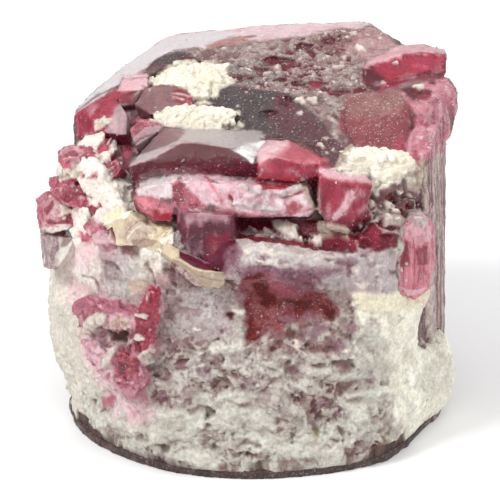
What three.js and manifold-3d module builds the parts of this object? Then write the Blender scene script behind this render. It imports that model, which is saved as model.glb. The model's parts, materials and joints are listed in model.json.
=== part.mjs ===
// A stout, short-prismatic pink tourmaline (rubellite) with a stepped, etched termination, smaller
// crystals grown out of its shoulders and front, and a crust of white albite feldspar round its front.
// Millimetres, +Z up along the crystal's length. The origin is the middle of the broken base that the
// specimen stands on. The front, where the crust and most of the side crystals are, faces -Y.
import * as THREE from "three";
import { ConvexGeometry } from "three/addons/geometries/ConvexGeometry.js";
import { mergeVertices } from "three/addons/utils/BufferGeometryUtils.js";
import Module from "manifold-3d";

// ---- driving dimensions -------------------------------------------------------------------------
const seatGap = 0.3; // clearance between one mineral and the next
const prismHeight = 40; // the prism is this tall before its termination is cut
const prismFlare = 0.035; // how much wider the prism is at its base than at its top
const striaWidth = 1.2; // width of one lengthwise ridge on the prism faces
const striaDepth = 0.18;
const ribDepth = 0.22; // how far the wider ribs of several ridges stand out
const rimHeight = 0.75; // thin rim of the crystal's base that shows under the crust
const rimPoints = 60; // points round the rim
const crustBottom = 1.05; // height of the crust's lower edge
const crustTop = 31; // height that the crust's form is drawn up to, before its top edge is cut
const crustAround = 82; // points round each level of the crust
const crustLevels = 24;
const crustLump = 4.2; // width of the lumps on the crust
const crustLumpHeight = 0.5;

const wasm = await Module();
wasm.setup();
const { degToRad, lerp, smoothstep } = THREE.MathUtils;

// ---- solids from geometry -----------------------------------------------------------------------

// A closed three.js geometry as a solid that can be joined and cut.
function solidOf(geometry) {
  const bare = new THREE.BufferGeometry();
  bare.setAttribute("position", geometry.attributes.position);
  bare.setIndex(geometry.index);
  const merged = mergeVertices(bare, 1e-4);
  const mesh = new wasm.Mesh({
    numProp: 3,
    vertProperties: new Float32Array(merged.attributes.position.array),
    triVerts: new Uint32Array(merged.index.array),
  });
  return new wasm.Manifold(mesh);
}

// A solid as a flat-shaded three.js geometry.
function geometryOf(solid) {
  const mesh = solid.getMesh();
  const indexed = new THREE.BufferGeometry();
  indexed.setAttribute("position", new THREE.BufferAttribute(new Float32Array(mesh.vertProperties), 3));
  indexed.setIndex(new THREE.BufferAttribute(new Uint32Array(mesh.triVerts), 1));
  const flat = indexed.toNonIndexed();
  flat.computeVertexNormals();
  return flat;
}

const joined = (solids) => solids.reduce((sum, solid) => sum.add(solid));

// The largest body of a solid, without the crumbs that a cut leaves beside it.
const largestOf = (solid) => solid.decompose().sort((a, b) => b.volume() - a.volume())[0];

// ---- faceted crystals ---------------------------------------------------------------------------

// A convex crystal is grown by giving each corner eight neighbours, and shrunk by drawing its
// corners towards its middle. These keep the gap close to seatGap on sloping faces.
const grownShare = 0.75;
const shrunkShare = 1.4;
const eightWays = [-1, 1].flatMap((x) => [-1, 1].flatMap((y) => [-1, 1].map((z) => [x, y, z])));

// One flat-faced crystal: the corners that show, and the way and distance that it runs back into
// what it grew from. grow moves its faces outwards, or inwards where it is negative.
function crystal({ corners, root }, grow = 0) {
  const shown = corners.map((corner) => new THREE.Vector3(...corner));
  const hidden = shown.map((corner) => corner.clone().add(new THREE.Vector3(...root)));
  const all = [...shown, ...hidden];
  const middle = all.reduce((sum, p) => sum.add(p), new THREE.Vector3()).divideScalar(all.length);
  const moved = all.flatMap((p) => {
    if (grow === 0) return [p];
    if (grow < 0) return [p.clone().addScaledVector(p.clone().sub(middle).normalize(), shrunkShare * grow)];
    return eightWays.map((way) => p.clone().addScaledVector(new THREE.Vector3(...way), grownShare * grow));
  });
  return solidOf(new ConvexGeometry(moved));
}

const crystals = (list, grow) => joined(Object.values(list).map((one) => crystal(one, grow)));

// ---- the main crystal ---------------------------------------------------------------------------

// The corners of the main prism's section, anticlockwise from the front right.
const prismCorners = [
  [11.5, -14.0],
  [17.2, -6.0],
  [18.9, 1.5],
  [16.6, 9.2],
  [11.4, 15.6],
  [3.0, 18.6],
  [-7.0, 18.0],
  [-13.4, 13.4],
  [-17.0, 5.2],
  [-16.7, -3.6],
  [-13.8, -10.4],
  [-7.4, -14.6],
  [1.0, -15.6],
];

// The section with lengthwise ridges on every side. Moved outwards by grow, it clears the highest
// ridges and has plain sides.
function prismSection(grow) {
  const points = prismCorners.flatMap((corner, i) => {
    const start = new THREE.Vector2(...corner);
    const end = new THREE.Vector2(...prismCorners[(i + 1) % prismCorners.length]);
    const along = end.clone().sub(start);
    const outward = new THREE.Vector2(along.y, -along.x).normalize();
    if (grow > 0) {
      const clear = grow + striaDepth + ribDepth;
      return [start, end].map((point) => point.addScaledVector(outward, clear));
    }
    const ridges = Math.round(along.length() / striaWidth);
    return Array.from({ length: ridges }, (_, n) => {
      const uneven = 0.5 + 0.5 * Math.sin(2.4 * n + 1.7 * i);
      const rib = Math.sin(1.1 * n + 2.3 * i) > 0 ? ribDepth : 0;
      const foot = start.clone().addScaledVector(along, n / ridges);
      const crest = start.clone().addScaledVector(along, (n + 0.25 + 0.5 * uneven) / ridges);
      foot.addScaledVector(outward, rib);
      crest.addScaledVector(outward, rib + striaDepth * (0.4 + 0.6 * uneven));
      return [foot, crest];
    }).flat();
  });
  return new THREE.Shape(points);
}

// The faces that end the main crystal. Each passes through a point, and rises by these slopes
// along X and Y.
const terminationFaces = {
  etchedPlateau: { through: [5.0, 12.0, 35.0], slope: [0.03, 0.2] },
  rearTerrace: { through: [-8.5, 9.0, 34.0], slope: [0.09, -0.15] },
  leftRearFace: { through: [-12.6, 2.0, 32.6], slope: [0.6, -0.15] },
  rightRearFace: { through: [12.2, 13.5, 35.2], slope: [-0.45, -0.12] },
  darkFrontFace: { through: [4.9, -0.8, 32.4], slope: [0.16, 0.6] },
  frontRightFace: { through: [4.9, -0.8, 32.5], slope: [-0.1, 0.4] },
  leftShoulder: { through: [-14.0, -4.0, 29.8], slope: [0.5, 0.55] },
};

// Etched pits in the faces that end the crystal: the face, where the pit is along X and Y, how far
// it reaches along X and Y, and how deep it is.
const etchPits = [
  { face: "etchedPlateau", at: [2.8, 6.5], reach: [1.7, 0.9], depth: 0.7 },
  { face: "etchedPlateau", at: [5.3, 9.1], reach: [1.2, 0.8], depth: 0.6 },
  { face: "etchedPlateau", at: [8.0, 10.1], reach: [0.8, 0.7], depth: 0.5 },
  { face: "etchedPlateau", at: [1.1, 4.7], reach: [1.2, 0.5], depth: 0.4 },
  { face: "etchedPlateau", at: [3.1, 2.7], reach: [0.8, 0.5], depth: 0.4 },
  { face: "etchedPlateau", at: [4.8, 1.9], reach: [1.0, 0.7], depth: 0.6 },
  { face: "etchedPlateau", at: [6.8, 1.7], reach: [1.1, 0.6], depth: 0.5 },
  { face: "etchedPlateau", at: [8.7, 0.9], reach: [0.9, 0.7], depth: 0.6 },
  { face: "darkFrontFace", at: [1.6, -1.9], reach: [1.0, 0.4], depth: 0.4 },
  { face: "darkFrontFace", at: [3.5, -0.9], reach: [0.8, 0.6], depth: 0.5 },
];

function pitSpace({ face, at, reach, depth }) {
  const { through, slope } = terminationFaces[face];
  const height = through[2] + slope[0] * (at[0] - through[0]) + slope[1] * (at[1] - through[1]);
  const hollow = new THREE.IcosahedronGeometry(1, 1).scale(reach[0], reach[1], depth);
  const normal = new THREE.Vector3(-slope[0], -slope[1], 1).normalize();
  const turn = new THREE.Quaternion().setFromUnitVectors(new THREE.Vector3(0, 0, 1), normal);
  return solidOf(hollow.applyQuaternion(turn).translate(at[0], at[1], height));
}

// The space beyond a face, as a block large enough to cut the whole prism.
const cutSize = 120;
function beyondFace({ through, slope }, grow) {
  const size = cutSize;
  const normal = new THREE.Vector3(-slope[0], -slope[1], 1).normalize();
  const centre = new THREE.Vector3(...through).addScaledVector(normal, grow + size / 2);
  const turn = new THREE.Quaternion().setFromUnitVectors(new THREE.Vector3(0, 0, 1), normal);
  const block = new THREE.BoxGeometry(size, size, size).applyQuaternion(turn);
  return solidOf(block.translate(centre.x, centre.y, centre.z));
}

function mainPrism(grow) {
  const shaft = new THREE.ExtrudeGeometry(prismSection(grow), {
    depth: prismHeight,
    bevelEnabled: false,
  });
  const at = shaft.attributes.position;
  for (let i = 0; i < at.count; i++) {
    const wider = 1 + prismFlare * (1 - at.getZ(i) / prismHeight);
    at.setXYZ(i, at.getX(i) * wider, at.getY(i) * wider, at.getZ(i));
  }
  const cuts = Object.values(terminationFaces).map((face) => beyondFace(face, grow));
  return solidOf(shaft).subtract(joined(cuts)).subtract(crystal(rightStep, -grow));
}

// Crystals in parallel growth with the main one, joined to it.
const lobes = {
  ledgePlate: {
    corners: [
      [-11.5, -13.5, 30.0],
      [-9.5, -13.2, 30.5],
      [-6.2, -12.0, 31.8],
      [-2.1, -12.0, 31.3],
      [0.5, -13.0, 30.1],
      [1.7, -8.0, 30.5],
      [1.2, -5.0, 30.3],
      [-6.8, -4.5, 30.7],
      [-8.3, -4.5, 30.8],
    ],
    root: [0.4, 1.6, -2.8],
  },
  ledgeBand: {
    corners: [
      [-11.2, -14.0, 27.5],
      [-9.5, -14.9, 28.5],
      [-7.2, -15.1, 29.1],
      [-2.0, -15.2, 28.4],
      [5.4, -14.9, 28.3],
      [6.2, -15.1, 26.2],
      [5.6, -15.3, 25.5],
      [-1.5, -15.9, 25.7],
      [-7.2, -15.9, 26.0],
      [-10.8, -14.8, 26.0],
    ],
    root: [0, 4, -0.6],
  },
  ledgeLip: {
    corners: [
      [-11.1, -15.2, 27.0],
      [-9.5, -15.0, 27.3],
      [-7.4, -15.9, 26.3],
      [-7.4, -16.4, 25.4],
      [-9.4, -16.4, 25.6],
      [-10.4, -15.9, 26.3],
    ],
    root: [0.6, 4, 0.5],
  },
  frontColumn: {
    corners: [
      [-6.9, -15.9, 26.8],
      [-5.7, -16.9, 26.6],
      [-1.5, -16.6, 26.2],
      [-6.9, -16.1, 20.8],
      [-5.7, -17.3, 20.9],
      [-1.2, -17.1, 20.3],
      [-0.8, -16.0, 20.6],
    ],
    root: [0.2, 4, 0.6],
  },
  roofCrystal: {
    corners: [
      [0.7, -12.5, 31.1],
      [1.7, -9.0, 31.0],
      [3.7, -10.0, 31.3],
      [2.4, -13.2, 30.8],
      [5.9, -11.5, 30.6],
      [4.7, -13.6, 30.3],
      [6.7, -11.5, 30.1],
      [7.8, -11.5, 29.3],
      [0.7, -14.2, 29.1],
      [4.7, -14.4, 28.8],
      [6.4, -13.8, 29.2],
    ],
    root: [0.3, 2.2, -2.4],
  },
  wedgeCrystal: {
    corners: [
      [6.6, -14.6, 30.0],
      [8.1, -12.5, 29.4],
      [11.2, -12.8, 28.9],
      [11.6, -14.6, 28.4],
      [8.0, -15.8, 29.2],
      [6.5, -15.4, 29.6],
      [6.5, -15.6, 26.1],
      [7.6, -16.1, 24.7],
      [9.0, -15.9, 24.1],
      [10.9, -14.9, 25.2],
    ],
    root: [-0.2, 4, 0.4],
  },
  upperRightCrystal: {
    corners: [
      [11.2, 3.5, 34.2],
      [12.0, 6.0, 34.3],
      [15.6, 10.0, 34.2],
      [17.7, 10.5, 34.2],
      [19.6, 9.5, 33.9],
      [15.5, 6.2, 34.8],
      [19.6, 7.0, 34.2],
      [19.6, 6.0, 32.7],
      [17.9, 5.0, 32.8],
      [14.8, 3.2, 32.6],
      [11.8, 2.0, 32.4],
    ],
    root: [-1.4, 0.6, -3.5],
  },
  rightLobe: {
    corners: [
      [11.8, 0.2, 32.8],
      [17.8, 4.0, 32.9],
      [19.8, 5.0, 32.4],
      [20.6, 4.0, 31.7],
      [20.6, 2.5, 30.5],
      [20.0, 1.0, 28.4],
      [18.8, 0.5, 26.3],
      [17.2, -2.8, 31.9],
      [15.6, -2.4, 32.2],
      [16.8, -4.6, 28.0],
    ],
    root: [-2.2, 5, -1],
  },
  roughBulge: {
    corners: [
      [9.3, -1.0, 32.2],
      [11.8, -0.3, 32.8],
      [14.2, -0.6, 32.9],
      [15.6, -2.4, 32.2],
      [9.9, -4.9, 29.6],
      [10.9, -6.9, 28.6],
      [13.0, -7.5, 28.3],
      [15.2, -6.6, 27.8],
    ],
    root: [0, 5, -5],
  },
  leftPeak: {
    corners: [
      [-17.0, 0.0, 30.6],
      [-12.6, 2.0, 32.7],
      [-16.9, -1.6, 28.4],
      [-13.6, -3.2, 30.0],
      [-13.2, -1.0, 31.6],
    ],
    root: [0.8, 4, -2],
  },
  leftCap: {
    corners: [
      [-12.7, 3.0, 33.1],
      [-10.1, 3.0, 33.3],
      [-10.2, 0.8, 32.9],
      [-12.8, 0.8, 32.5],
      [-12.8, 0.1, 31.2],
      [-11.3, 0.0, 31.5],
    ],
    root: [0.3, 1.5, -2.5],
  },
  leftColumn: {
    corners: [
      [-14.0, -2.0, 31.7],
      [-12.7, -1.4, 32.0],
      [-12.0, -2.8, 31.4],
      [-12.0, -4.6, 29.9],
      [-14.3, -4.2, 30.0],
    ],
    root: [0.6, 2.5, -3],
  },
  greySlab: {
    corners: [
      [-11.3, -1.0, 31.8],
      [-10.3, 0.0, 33.1],
      [-8.8, 1.0, 33.2],
      [-6.1, 1.0, 32.9],
      [-5.6, -1.0, 32.2],
      [-6.8, -2.5, 31.5],
      [-9.7, -3.0, 31.5],
    ],
    root: [0.4, 1.5, -2.6],
  },
  ledgeFlank: {
    corners: [
      [-11.7, -4.4, 30.4],
      [-10.7, -3.8, 31.3],
      [-8.8, -3.8, 31.3],
      [-8.6, -5.2, 30.8],
      [-11.0, -7.4, 29.8],
    ],
    root: [0.5, 1.5, -2.4],
  },
};

// A step in the main crystal's right shoulder, in front of the crystal that stands there.
const rightStep = {
  corners: [
    [11.4, 1.7, 32.4],
    [14.8, 3.1, 32.5],
    [18.0, 4.9, 32.6],
    [24.0, 6.5, 32.4],
    [24.0, -8.0, 29.0],
    [12.5, -6.0, 29.5],
  ],
  root: [0, 0, 9],
};

// A hollow in the rear of the termination, where feldspar has grown.
const rearHollow = {
  corners: [
    [-9.9, 4.4, 36],
    [-8.4, 6.2, 36],
    [-5.0, 7.2, 36],
    [-2.2, 6.4, 36],
    [-3.4, 3.0, 36],
    [-5.2, 0.6, 36],
    [-8.9, 2.4, 36],
  ],
  root: [0, 0, -4.3],
};

// The thin rim of the broken base, which reaches out under the crust.
function baseRim(grow) {
  const edge = crustEdge.getSpacedPoints(rimPoints).slice(0, rimPoints);
  const shape = new THREE.Shape(edge.map((p) => new THREE.Vector2(p.x, p.y)));
  return solidOf(new THREE.ExtrudeGeometry(shape, { depth: rimHeight + grow, bevelEnabled: false }));
}

// ---- smaller crystals of their own --------------------------------------------------------------

const rightSideCrystal = {
  column: {
    corners: [
      [14.0, -13.9, 22.4],
      [14.4, -13.2, 23.6],
      [15.6, -12.4, 24.4],
      [17.0, -11.0, 23.9],
      [17.8, -9.9, 22.7],
      [14.0, -14.3, 19.0],
      [14.4, -14.7, 17.4],
      [15.8, -14.1, 16.5],
      [17.2, -12.3, 16.8],
      [17.9, -10.6, 18.7],
    ],
    root: [-1.2, 3.8, 0],
  },
};

const leftCrystals = {
  left_crystal_top: {
    corners: [
      [-18.8, -2.6, 27.6],
      [-18.6, -7.0, 28.0],
      [-18.2, -5.5, 28.5],
      [-17.5, -4.0, 28.7],
      [-15.5, -6.0, 29.2],
      [-14.7, -8.2, 28.8],
      [-15.4, -9.4, 28.0],
      [-16.9, -9.2, 28.1],
      [-17.0, -9.2, 27.0],
    ],
    root: [1.8, 2.6, -2.0],
  },
  left_crystal_inner: {
    corners: [
      [-14.3, -9.6, 29.0],
      [-12.8, -10.0, 29.3],
      [-12.2, -11.0, 28.9],
      [-13.2, -11.8, 27.8],
      [-14.1, -11.2, 27.7],
    ],
    root: [0.4, 2.6, -1.6],
  },
  left_crystal_middle: {
    corners: [
      [-19.8, -3.8, 25.2],
      [-19.2, -8.0, 25.2],
      [-18.2, -7.2, 26.4],
      [-16.8, -7.5, 26.8],
      [-15.0, -9.4, 27.1],
      [-14.2, -11.2, 26.3],
      [-15.5, -11.6, 25.0],
      [-17.5, -10.4, 24.7],
    ],
    root: [2.0, 3.0, -0.8],
  },
  left_crystal_lower: {
    corners: [
      [-21.0, -2.0, 22.4],
      [-20.8, -5.5, 22.2],
      [-20.0, -4.4, 23.9],
      [-18.4, -8.0, 24.2],
      [-17.7, -10.0, 23.9],
      [-17.7, -10.6, 22.4],
      [-19.3, -9.2, 21.4],
      [-20.6, -6.4, 20.9],
      [-20.8, -2.6, 21.0],
    ],
    root: [2.8, 2.6, 0],
  },
  left_crystal_foot: {
    corners: [
      [-20.8, -2.2, 19.2],
      [-20.4, -6.4, 20.2],
      [-18.7, -8.8, 21.0],
      [-17.0, -11.0, 21.6],
      [-17.7, -11.4, 20.0],
      [-18.9, -10.4, 18.1],
      [-20.2, -7.4, 17.1],
      [-20.4, -3.2, 16.8],
    ],
    root: [2.8, 2.8, 0],
  },
  left_crystal_small: {
    corners: [
      [-16.0, -12.4, 23.5],
      [-15.0, -12.4, 24.4],
      [-13.8, -13.6, 24.0],
      [-12.9, -14.8, 22.7],
      [-14.7, -14.0, 22.2],
    ],
    root: [1.4, 2.6, 0],
  },
};

const lowerLeftCrystal = {
  column: {
    corners: [
      [-9.6, -18.4, 19.4],
      [-8.5, -18.6, 18.8],
      [-8.5, -18.9, 17.4],
      [-9.6, -19.0, 13.2],
      [-11.2, -18.4, 12.0],
      [-11.2, -17.8, 16.0],
    ],
    root: [0.8, 2.4, 0],
  },
  upperArm: {
    corners: [
      [-17.1, -12.6, 15.6],
      [-14.5, -14.9, 17.1],
      [-10.8, -17.6, 16.4],
      [-10.6, -18.0, 14.9],
      [-14.0, -15.8, 15.2],
      [-16.6, -13.4, 13.4],
    ],
    root: [1.4, 2.2, 0],
  },
  lowerLump: {
    corners: [
      [-16.2, -13.8, 12.0],
      [-14.0, -15.9, 12.3],
      [-10.3, -18.6, 12.4],
      [-10.0, -18.7, 9.6],
      [-11.6, -18.0, 7.8],
      [-13.8, -16.4, 9.2],
      [-15.8, -14.0, 10.2],
    ],
    root: [1.2, 2.4, 0],
  },
  pitFloor: {
    corners: [
      [-15.6, -13.1, 15.6],
      [-11.0, -16.4, 16.0],
      [-11.0, -16.4, 11.6],
      [-15.0, -13.6, 11.6],
    ],
    root: [1.4, 1.6, 0],
  },
};

const micaFlake = {
  blade: {
    corners: [
      [-8.4, -18.3, 22.9],
      [-8.0, -18.1, 23.5],
      [-6.4, -18.4, 22.5],
      [-2.4, -18.9, 21.0],
      [-2.4, -19.4, 20.2],
      [-3.2, -19.6, 19.8],
      [-5.2, -19.4, 20.2],
      [-7.1, -18.8, 21.6],
    ],
    root: [0.1, 0.9, 0.2],
  },
};

const micaScales = {
  left: {
    corners: [
      [-13.2, -14.2, 24.6],
      [-11.4, -15.4, 26.0],
      [-9.8, -16.2, 25.0],
      [-10.6, -16.6, 23.2],
      [-12.6, -15.2, 22.6],
    ],
    root: [0.5, 1.3, 0],
  },
  middle: {
    corners: [
      [-10.9, -15.8, 25.1],
      [-8.4, -16.6, 24.9],
      [-7.6, -17.0, 23.9],
      [-8.8, -17.2, 22.9],
      [-10.6, -16.6, 23.0],
    ],
    root: [0.4, 1.3, 0],
  },
  right: {
    corners: [
      [-9.4, -16.4, 24.5],
      [-7.4, -16.6, 24.8],
      [-7.3, -17.0, 23.3],
      [-8.4, -17.3, 22.7],
    ],
    root: [0.2, 1.3, 0],
  },
};

// ---- the crust ----------------------------------------------------------------------------------

// Smooth noise from -1 to 1, the same each run.
function latticeValue(i, j, k) {
  const s = Math.sin(i * 127.1 + j * 311.7 + k * 74.7) * 43758.5453;
  return 2 * (s - Math.floor(s)) - 1;
}

function noise(x, y, z) {
  const [i, j, k] = [Math.floor(x), Math.floor(y), Math.floor(z)];
  const ease = (t) => t * t * (3 - 2 * t);
  const [u, v, w] = [ease(x - i), ease(y - j), ease(z - k)];
  const alongX = (dj, dk) => lerp(latticeValue(i, j + dj, k + dk), latticeValue(i + 1, j + dj, k + dk), u);
  return lerp(lerp(alongX(0, 0), alongX(1, 0), v), lerp(alongX(0, 1), alongX(1, 1), v), w);
}

// Lumps of one width with finer ones on them.
function lumps(point, width) {
  const [x, y, z] = point.toArray().map((value) => value / width);
  return noise(x, y, z) + 0.5 * noise(2.1 * x, 2.1 * y, 2.1 * z + 7);
}

// The line that the crust's foot follows, seen from above. Towards the rear it runs into the prism,
// so that the crust thins out there.
const crustEdge = new THREE.CatmullRomCurve3(
  [
    [0.0, -19.4],
    [7.7, -18.2],
    [13.4, -15.2],
    [17.0, -8.6],
    [19.2, -3.8],
    [16.4, 1.6],
    [11.0, 5.0],
    [-10.0, 7.0],
    [-15.8, 3.4],
    [-18.1, -1.4],
    [-16.5, -9.4],
    [-11.9, -15.0],
    [-6.8, -18.2],
  ].map(([x, y]) => new THREE.Vector3(x, y, 0)),
  true,
  "centripetal",
);

// Ridges (out > 0) and hollows (out < 0) of the crust's front: where they are, how far they reach
// along X and Z, and how far they stand out.
const crustRelief = [
  { name: "white ridge", at: [5.5, 21.8], reach: [9.5, 1.9], out: 0.5 },
  { name: "stained hollow", at: [2.5, 17.6], reach: [5.8, 2.9], out: -1.9 },
  { name: "under the ledge", at: [4.0, 25.4], reach: [9, 2.0], out: -3.2 },
  { name: "under the column", at: [-4.4, 23.4], reach: [3.4, 3.2], out: -1.2 },
  { name: "right bulge", at: [19.5, 5.0], reach: [4.2, 4.2], out: 1.2 },
  { name: "right shelf", at: [14.5, 14.6], reach: [4, 1.2], out: 0.8 },
  { name: "right notch", at: [19.0, 10.5], reach: [2.5, 1.6], out: -1.0 },
  { name: "bare right edge", at: [20.0, 19.0], reach: [2.4, 4.5], out: -1.3 },
  { name: "left foot", at: [-19.0, 9.4], reach: [4.5, 3.2], out: 1.6 },
  { name: "left waist", at: [-19.0, 13.5], reach: [4.5, 1.8], out: 0.9 },
  { name: "left bulge", at: [-19.6, 19.0], reach: [3.6, 4.2], out: 2.4 },
];

// How high the crust reaches along the front, from side to side.
function crustHeight(x) {
  const upFromSide = lerp(26.6, 29.0, smoothstep(x, -18.5, -15.5));
  const downToScales = lerp(upFromSide, 24.6, smoothstep(x, -14.5, -10.5));
  const downToFront = lerp(downToScales, 23.6, smoothstep(x, -8.5, -5.5));
  const upToRight = lerp(downToFront, 25.4, smoothstep(x, 10.0, 12.5));
  return lerp(upToRight, 21.5, smoothstep(x, 15.5, 17.5)) + 0.5 * noise(0.45 * x, 3.1, 0.7);
}

// The crust's form as a closed drum whose wall follows its foot line, with the relief and the lumps.
function crustDrum() {
  const around = crustAround;
  const levels = crustLevels;
  const middle = new THREE.Vector3(0, -1, 0);
  const foot = crustEdge.getSpacedPoints(around).slice(0, around);
  const reliefAt = (x, z) => (sum, { at, reach, out }) => {
    const [dx, dz] = [(x - at[0]) / reach[0], (z - at[1]) / reach[1]];
    return sum + out * Math.exp(-dx * dx - dz * dz);
  };
  const ring = (level) =>
    foot.map((p) => {
      const outward = p.clone().sub(middle).normalize();
      const relief = p.y < 4 ? crustRelief.reduce(reliefAt(p.x, level), 0) : 0;
      const place = new THREE.Vector3(p.x, p.y, level);
      const lump = crustLumpHeight * lumps(place, crustLump);
      return place.addScaledVector(outward, relief + lump);
    });
  const rings = Array.from({ length: levels + 1 }, (_, n) => ring(lerp(crustBottom, crustTop, n / levels)));
  const points = [];
  const triangle = (...corners) => corners.forEach((corner) => points.push(...corner.toArray()));
  const low = middle.clone().setZ(crustBottom);
  const high = middle.clone().setZ(crustTop);
  for (let i = 0; i < around; i++) {
    const j = (i + 1) % around;
    for (let n = 0; n < levels; n++) {
      triangle(rings[n][i], rings[n][j], rings[n + 1][j]);
      triangle(rings[n][i], rings[n + 1][j], rings[n + 1][i]);
    }
    triangle(low, rings[0][j], rings[0][i]);
    triangle(high, rings[levels][i], rings[levels][j]);
  }
  const geometry = new THREE.BufferGeometry();
  geometry.setAttribute("position", new THREE.Float32BufferAttribute(points, 3));
  return solidOf(geometry);
}

// Everything above the crust's ragged top edge.
function aboveCrust() {
  const above = new THREE.Shape([new THREE.Vector2(-40, 60)]);
  for (let x = -40; x <= 40; x += 1) above.lineTo(x, crustHeight(x));
  above.lineTo(40, 60);
  const roof = new THREE.ExtrudeGeometry(above, { depth: 80, bevelEnabled: false });
  roof.rotateX(Math.PI / 2).translate(0, 40, 0);
  return solidOf(roof);
}

// ---- feldspar in the hollows of the termination -------------------------------------------------

// A lumpy mound: a sphere stretched to its radii and roughened.
function mound({ centre, radii, turn = 0, seed }) {
  const geometry = new THREE.IcosahedronGeometry(1, 4);
  const at = geometry.attributes.position;
  const p = new THREE.Vector3();
  for (let i = 0; i < at.count; i++) {
    p.fromBufferAttribute(at, i);
    const rough = 1 + 0.2 * lumps(p.clone().addScalar(seed), 0.5);
    p.multiply(new THREE.Vector3(...radii)).multiplyScalar(rough);
    at.setXYZ(i, p.x, p.y, p.z);
  }
  geometry.rotateZ(degToRad(turn)).translate(...centre);
  return solidOf(geometry);
}

const pockets = {
  albite_pocket_rear: { centre: [-5.6, 3.9, 32.1], radii: [4.2, 3.3, 1.8], turn: 14, seed: 3 },
  albite_pocket_front: { centre: [-5.0, -3.0, 30.8], radii: [4.3, 1.7, 1.3], turn: 4, seed: 11 },
  albite_pocket_right: { centre: [11.3, -9.3, 27.8], radii: [4.6, 2.6, 2.2], turn: 12, seed: 21 },
};

// ---- assembly -----------------------------------------------------------------------------------

const colours = { tourmaline: 0xa4546a, gem: 0xc0567a, albite: 0xe8e4da, cream: 0xefe9d6, mica: 0xddd3b4 };
const rubellite = (grow) => {
  const grown = mainPrism(grow).add(crystals(lobes, grow)).add(baseRim(grow));
  const hollowed = grown.subtract(crystal(rearHollow, -grow));
  return grow > 0 ? hollowed : hollowed.subtract(joined(etchPits.map(pitSpace)));
};

const part = new THREE.Group();
function place(name, solid, colour, roughness) {
  const material = new THREE.MeshStandardMaterial({ color: colour, roughness, metalness: 0 });
  const mesh = new THREE.Mesh(geometryOf(solid), material);
  mesh.name = name;
  part.add(mesh);
}

place("tourmaline_crystal", rubellite(0), colours.tourmaline, 0.35);
const hostGrown = rubellite(seatGap);

const gems = {
  side_crystal_right: rightSideCrystal,
  lower_left_crystal: lowerLeftCrystal,
};
for (const [name, one] of Object.entries(leftCrystals)) gems[name] = { body: one };

let taken = hostGrown;
for (const [name, list] of Object.entries(gems)) {
  place(name, largestOf(crystals(list, 0).subtract(taken)), colours.gem, 0.3);
  taken = taken.add(crystals(list, seatGap));
}
for (const [name, list] of Object.entries({ mica_flake: micaFlake, mica_scales: micaScales })) {
  place(name, largestOf(crystals(list, 0).subtract(taken)), colours.mica, 0.5);
  taken = taken.add(crystals(list, seatGap));
}
for (const [name, form] of Object.entries(pockets)) {
  place(name, largestOf(mound(form).subtract(taken)), colours.cream, 0.85);
}
place("albite_crust", largestOf(crustDrum().subtract(aboveCrust()).subtract(taken)), colours.albite, 0.85);

export default part;
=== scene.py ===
import bpy, itertools, json, math, time
import numpy as np
from functools import partial
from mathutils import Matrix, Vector, kdtree
from mathutils.bvhtree import BVHTree

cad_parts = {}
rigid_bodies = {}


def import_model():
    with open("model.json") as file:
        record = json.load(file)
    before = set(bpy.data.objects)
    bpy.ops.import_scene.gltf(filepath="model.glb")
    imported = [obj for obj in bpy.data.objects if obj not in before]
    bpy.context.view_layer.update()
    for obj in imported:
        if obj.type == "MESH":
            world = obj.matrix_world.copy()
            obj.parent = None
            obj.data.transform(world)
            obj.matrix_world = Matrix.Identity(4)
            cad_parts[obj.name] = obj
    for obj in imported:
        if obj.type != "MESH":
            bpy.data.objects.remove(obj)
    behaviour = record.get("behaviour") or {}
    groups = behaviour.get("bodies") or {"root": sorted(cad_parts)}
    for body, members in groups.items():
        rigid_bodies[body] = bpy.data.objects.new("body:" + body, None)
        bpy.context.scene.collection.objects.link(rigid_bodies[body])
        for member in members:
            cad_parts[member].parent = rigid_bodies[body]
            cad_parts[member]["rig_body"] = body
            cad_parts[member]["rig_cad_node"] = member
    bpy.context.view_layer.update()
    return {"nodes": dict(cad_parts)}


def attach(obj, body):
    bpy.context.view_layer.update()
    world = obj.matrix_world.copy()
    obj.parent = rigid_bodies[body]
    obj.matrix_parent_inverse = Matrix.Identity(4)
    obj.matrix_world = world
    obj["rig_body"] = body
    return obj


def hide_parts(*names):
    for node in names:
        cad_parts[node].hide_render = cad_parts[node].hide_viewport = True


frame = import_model()
startTime = time.time()
mm = 0.001


def report(words):
    print("%6.1f s  %s" % (time.time() - startTime, words))


# camera, floor and light, in metres; "frame" is the width in which the outlines further down are drawn
stageSettings = {
    "target": (0, 0, 16 * mm),
    "distance": 330 * mm,
    "elevation": 22,
    "lens": 237.6,
    "sensor": 36,
    "clip": (0.01, 5),
    "frame": 500,
    "floorSize": 3,
    "floorColour": (0.8, 0.8, 0.8),
    "floorRoughness": 0.9,
    "floorGlow": 0.06,
    "skyRamp": {"From Min": 0.05, "From Max": 0.8, "To Min": 0.4, "To Max": 1.1},
    "lampAim": (0, 0, 0.015),
    "lamps": {
        "keyLight": {"place": (-0.28, -0.22, 0.42), "size": 0.14, "power": 1.9},
        "rightLight": {"place": (0.35, -0.15, 0.25), "size": 0.2, "power": 0.55},
    },
}
tilt = math.radians(stageSettings["elevation"])
lineOfSight = Vector((0, math.cos(tilt), -math.sin(tilt)))
eye = Vector(stageSettings["target"]) - lineOfSight * stageSettings["distance"]

bpy.ops.object.camera_add(location=eye, rotation=(math.pi / 2 - tilt, 0, 0))
camera = bpy.context.object
camera.name = "camera"
camera.data.lens = stageSettings["lens"]
camera.data.sensor_width = stageSettings["sensor"]
camera.data.clip_start, camera.data.clip_end = stageSettings["clip"]
bpy.context.scene.camera = camera
bpy.context.scene.view_settings.view_transform = "Standard"

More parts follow.
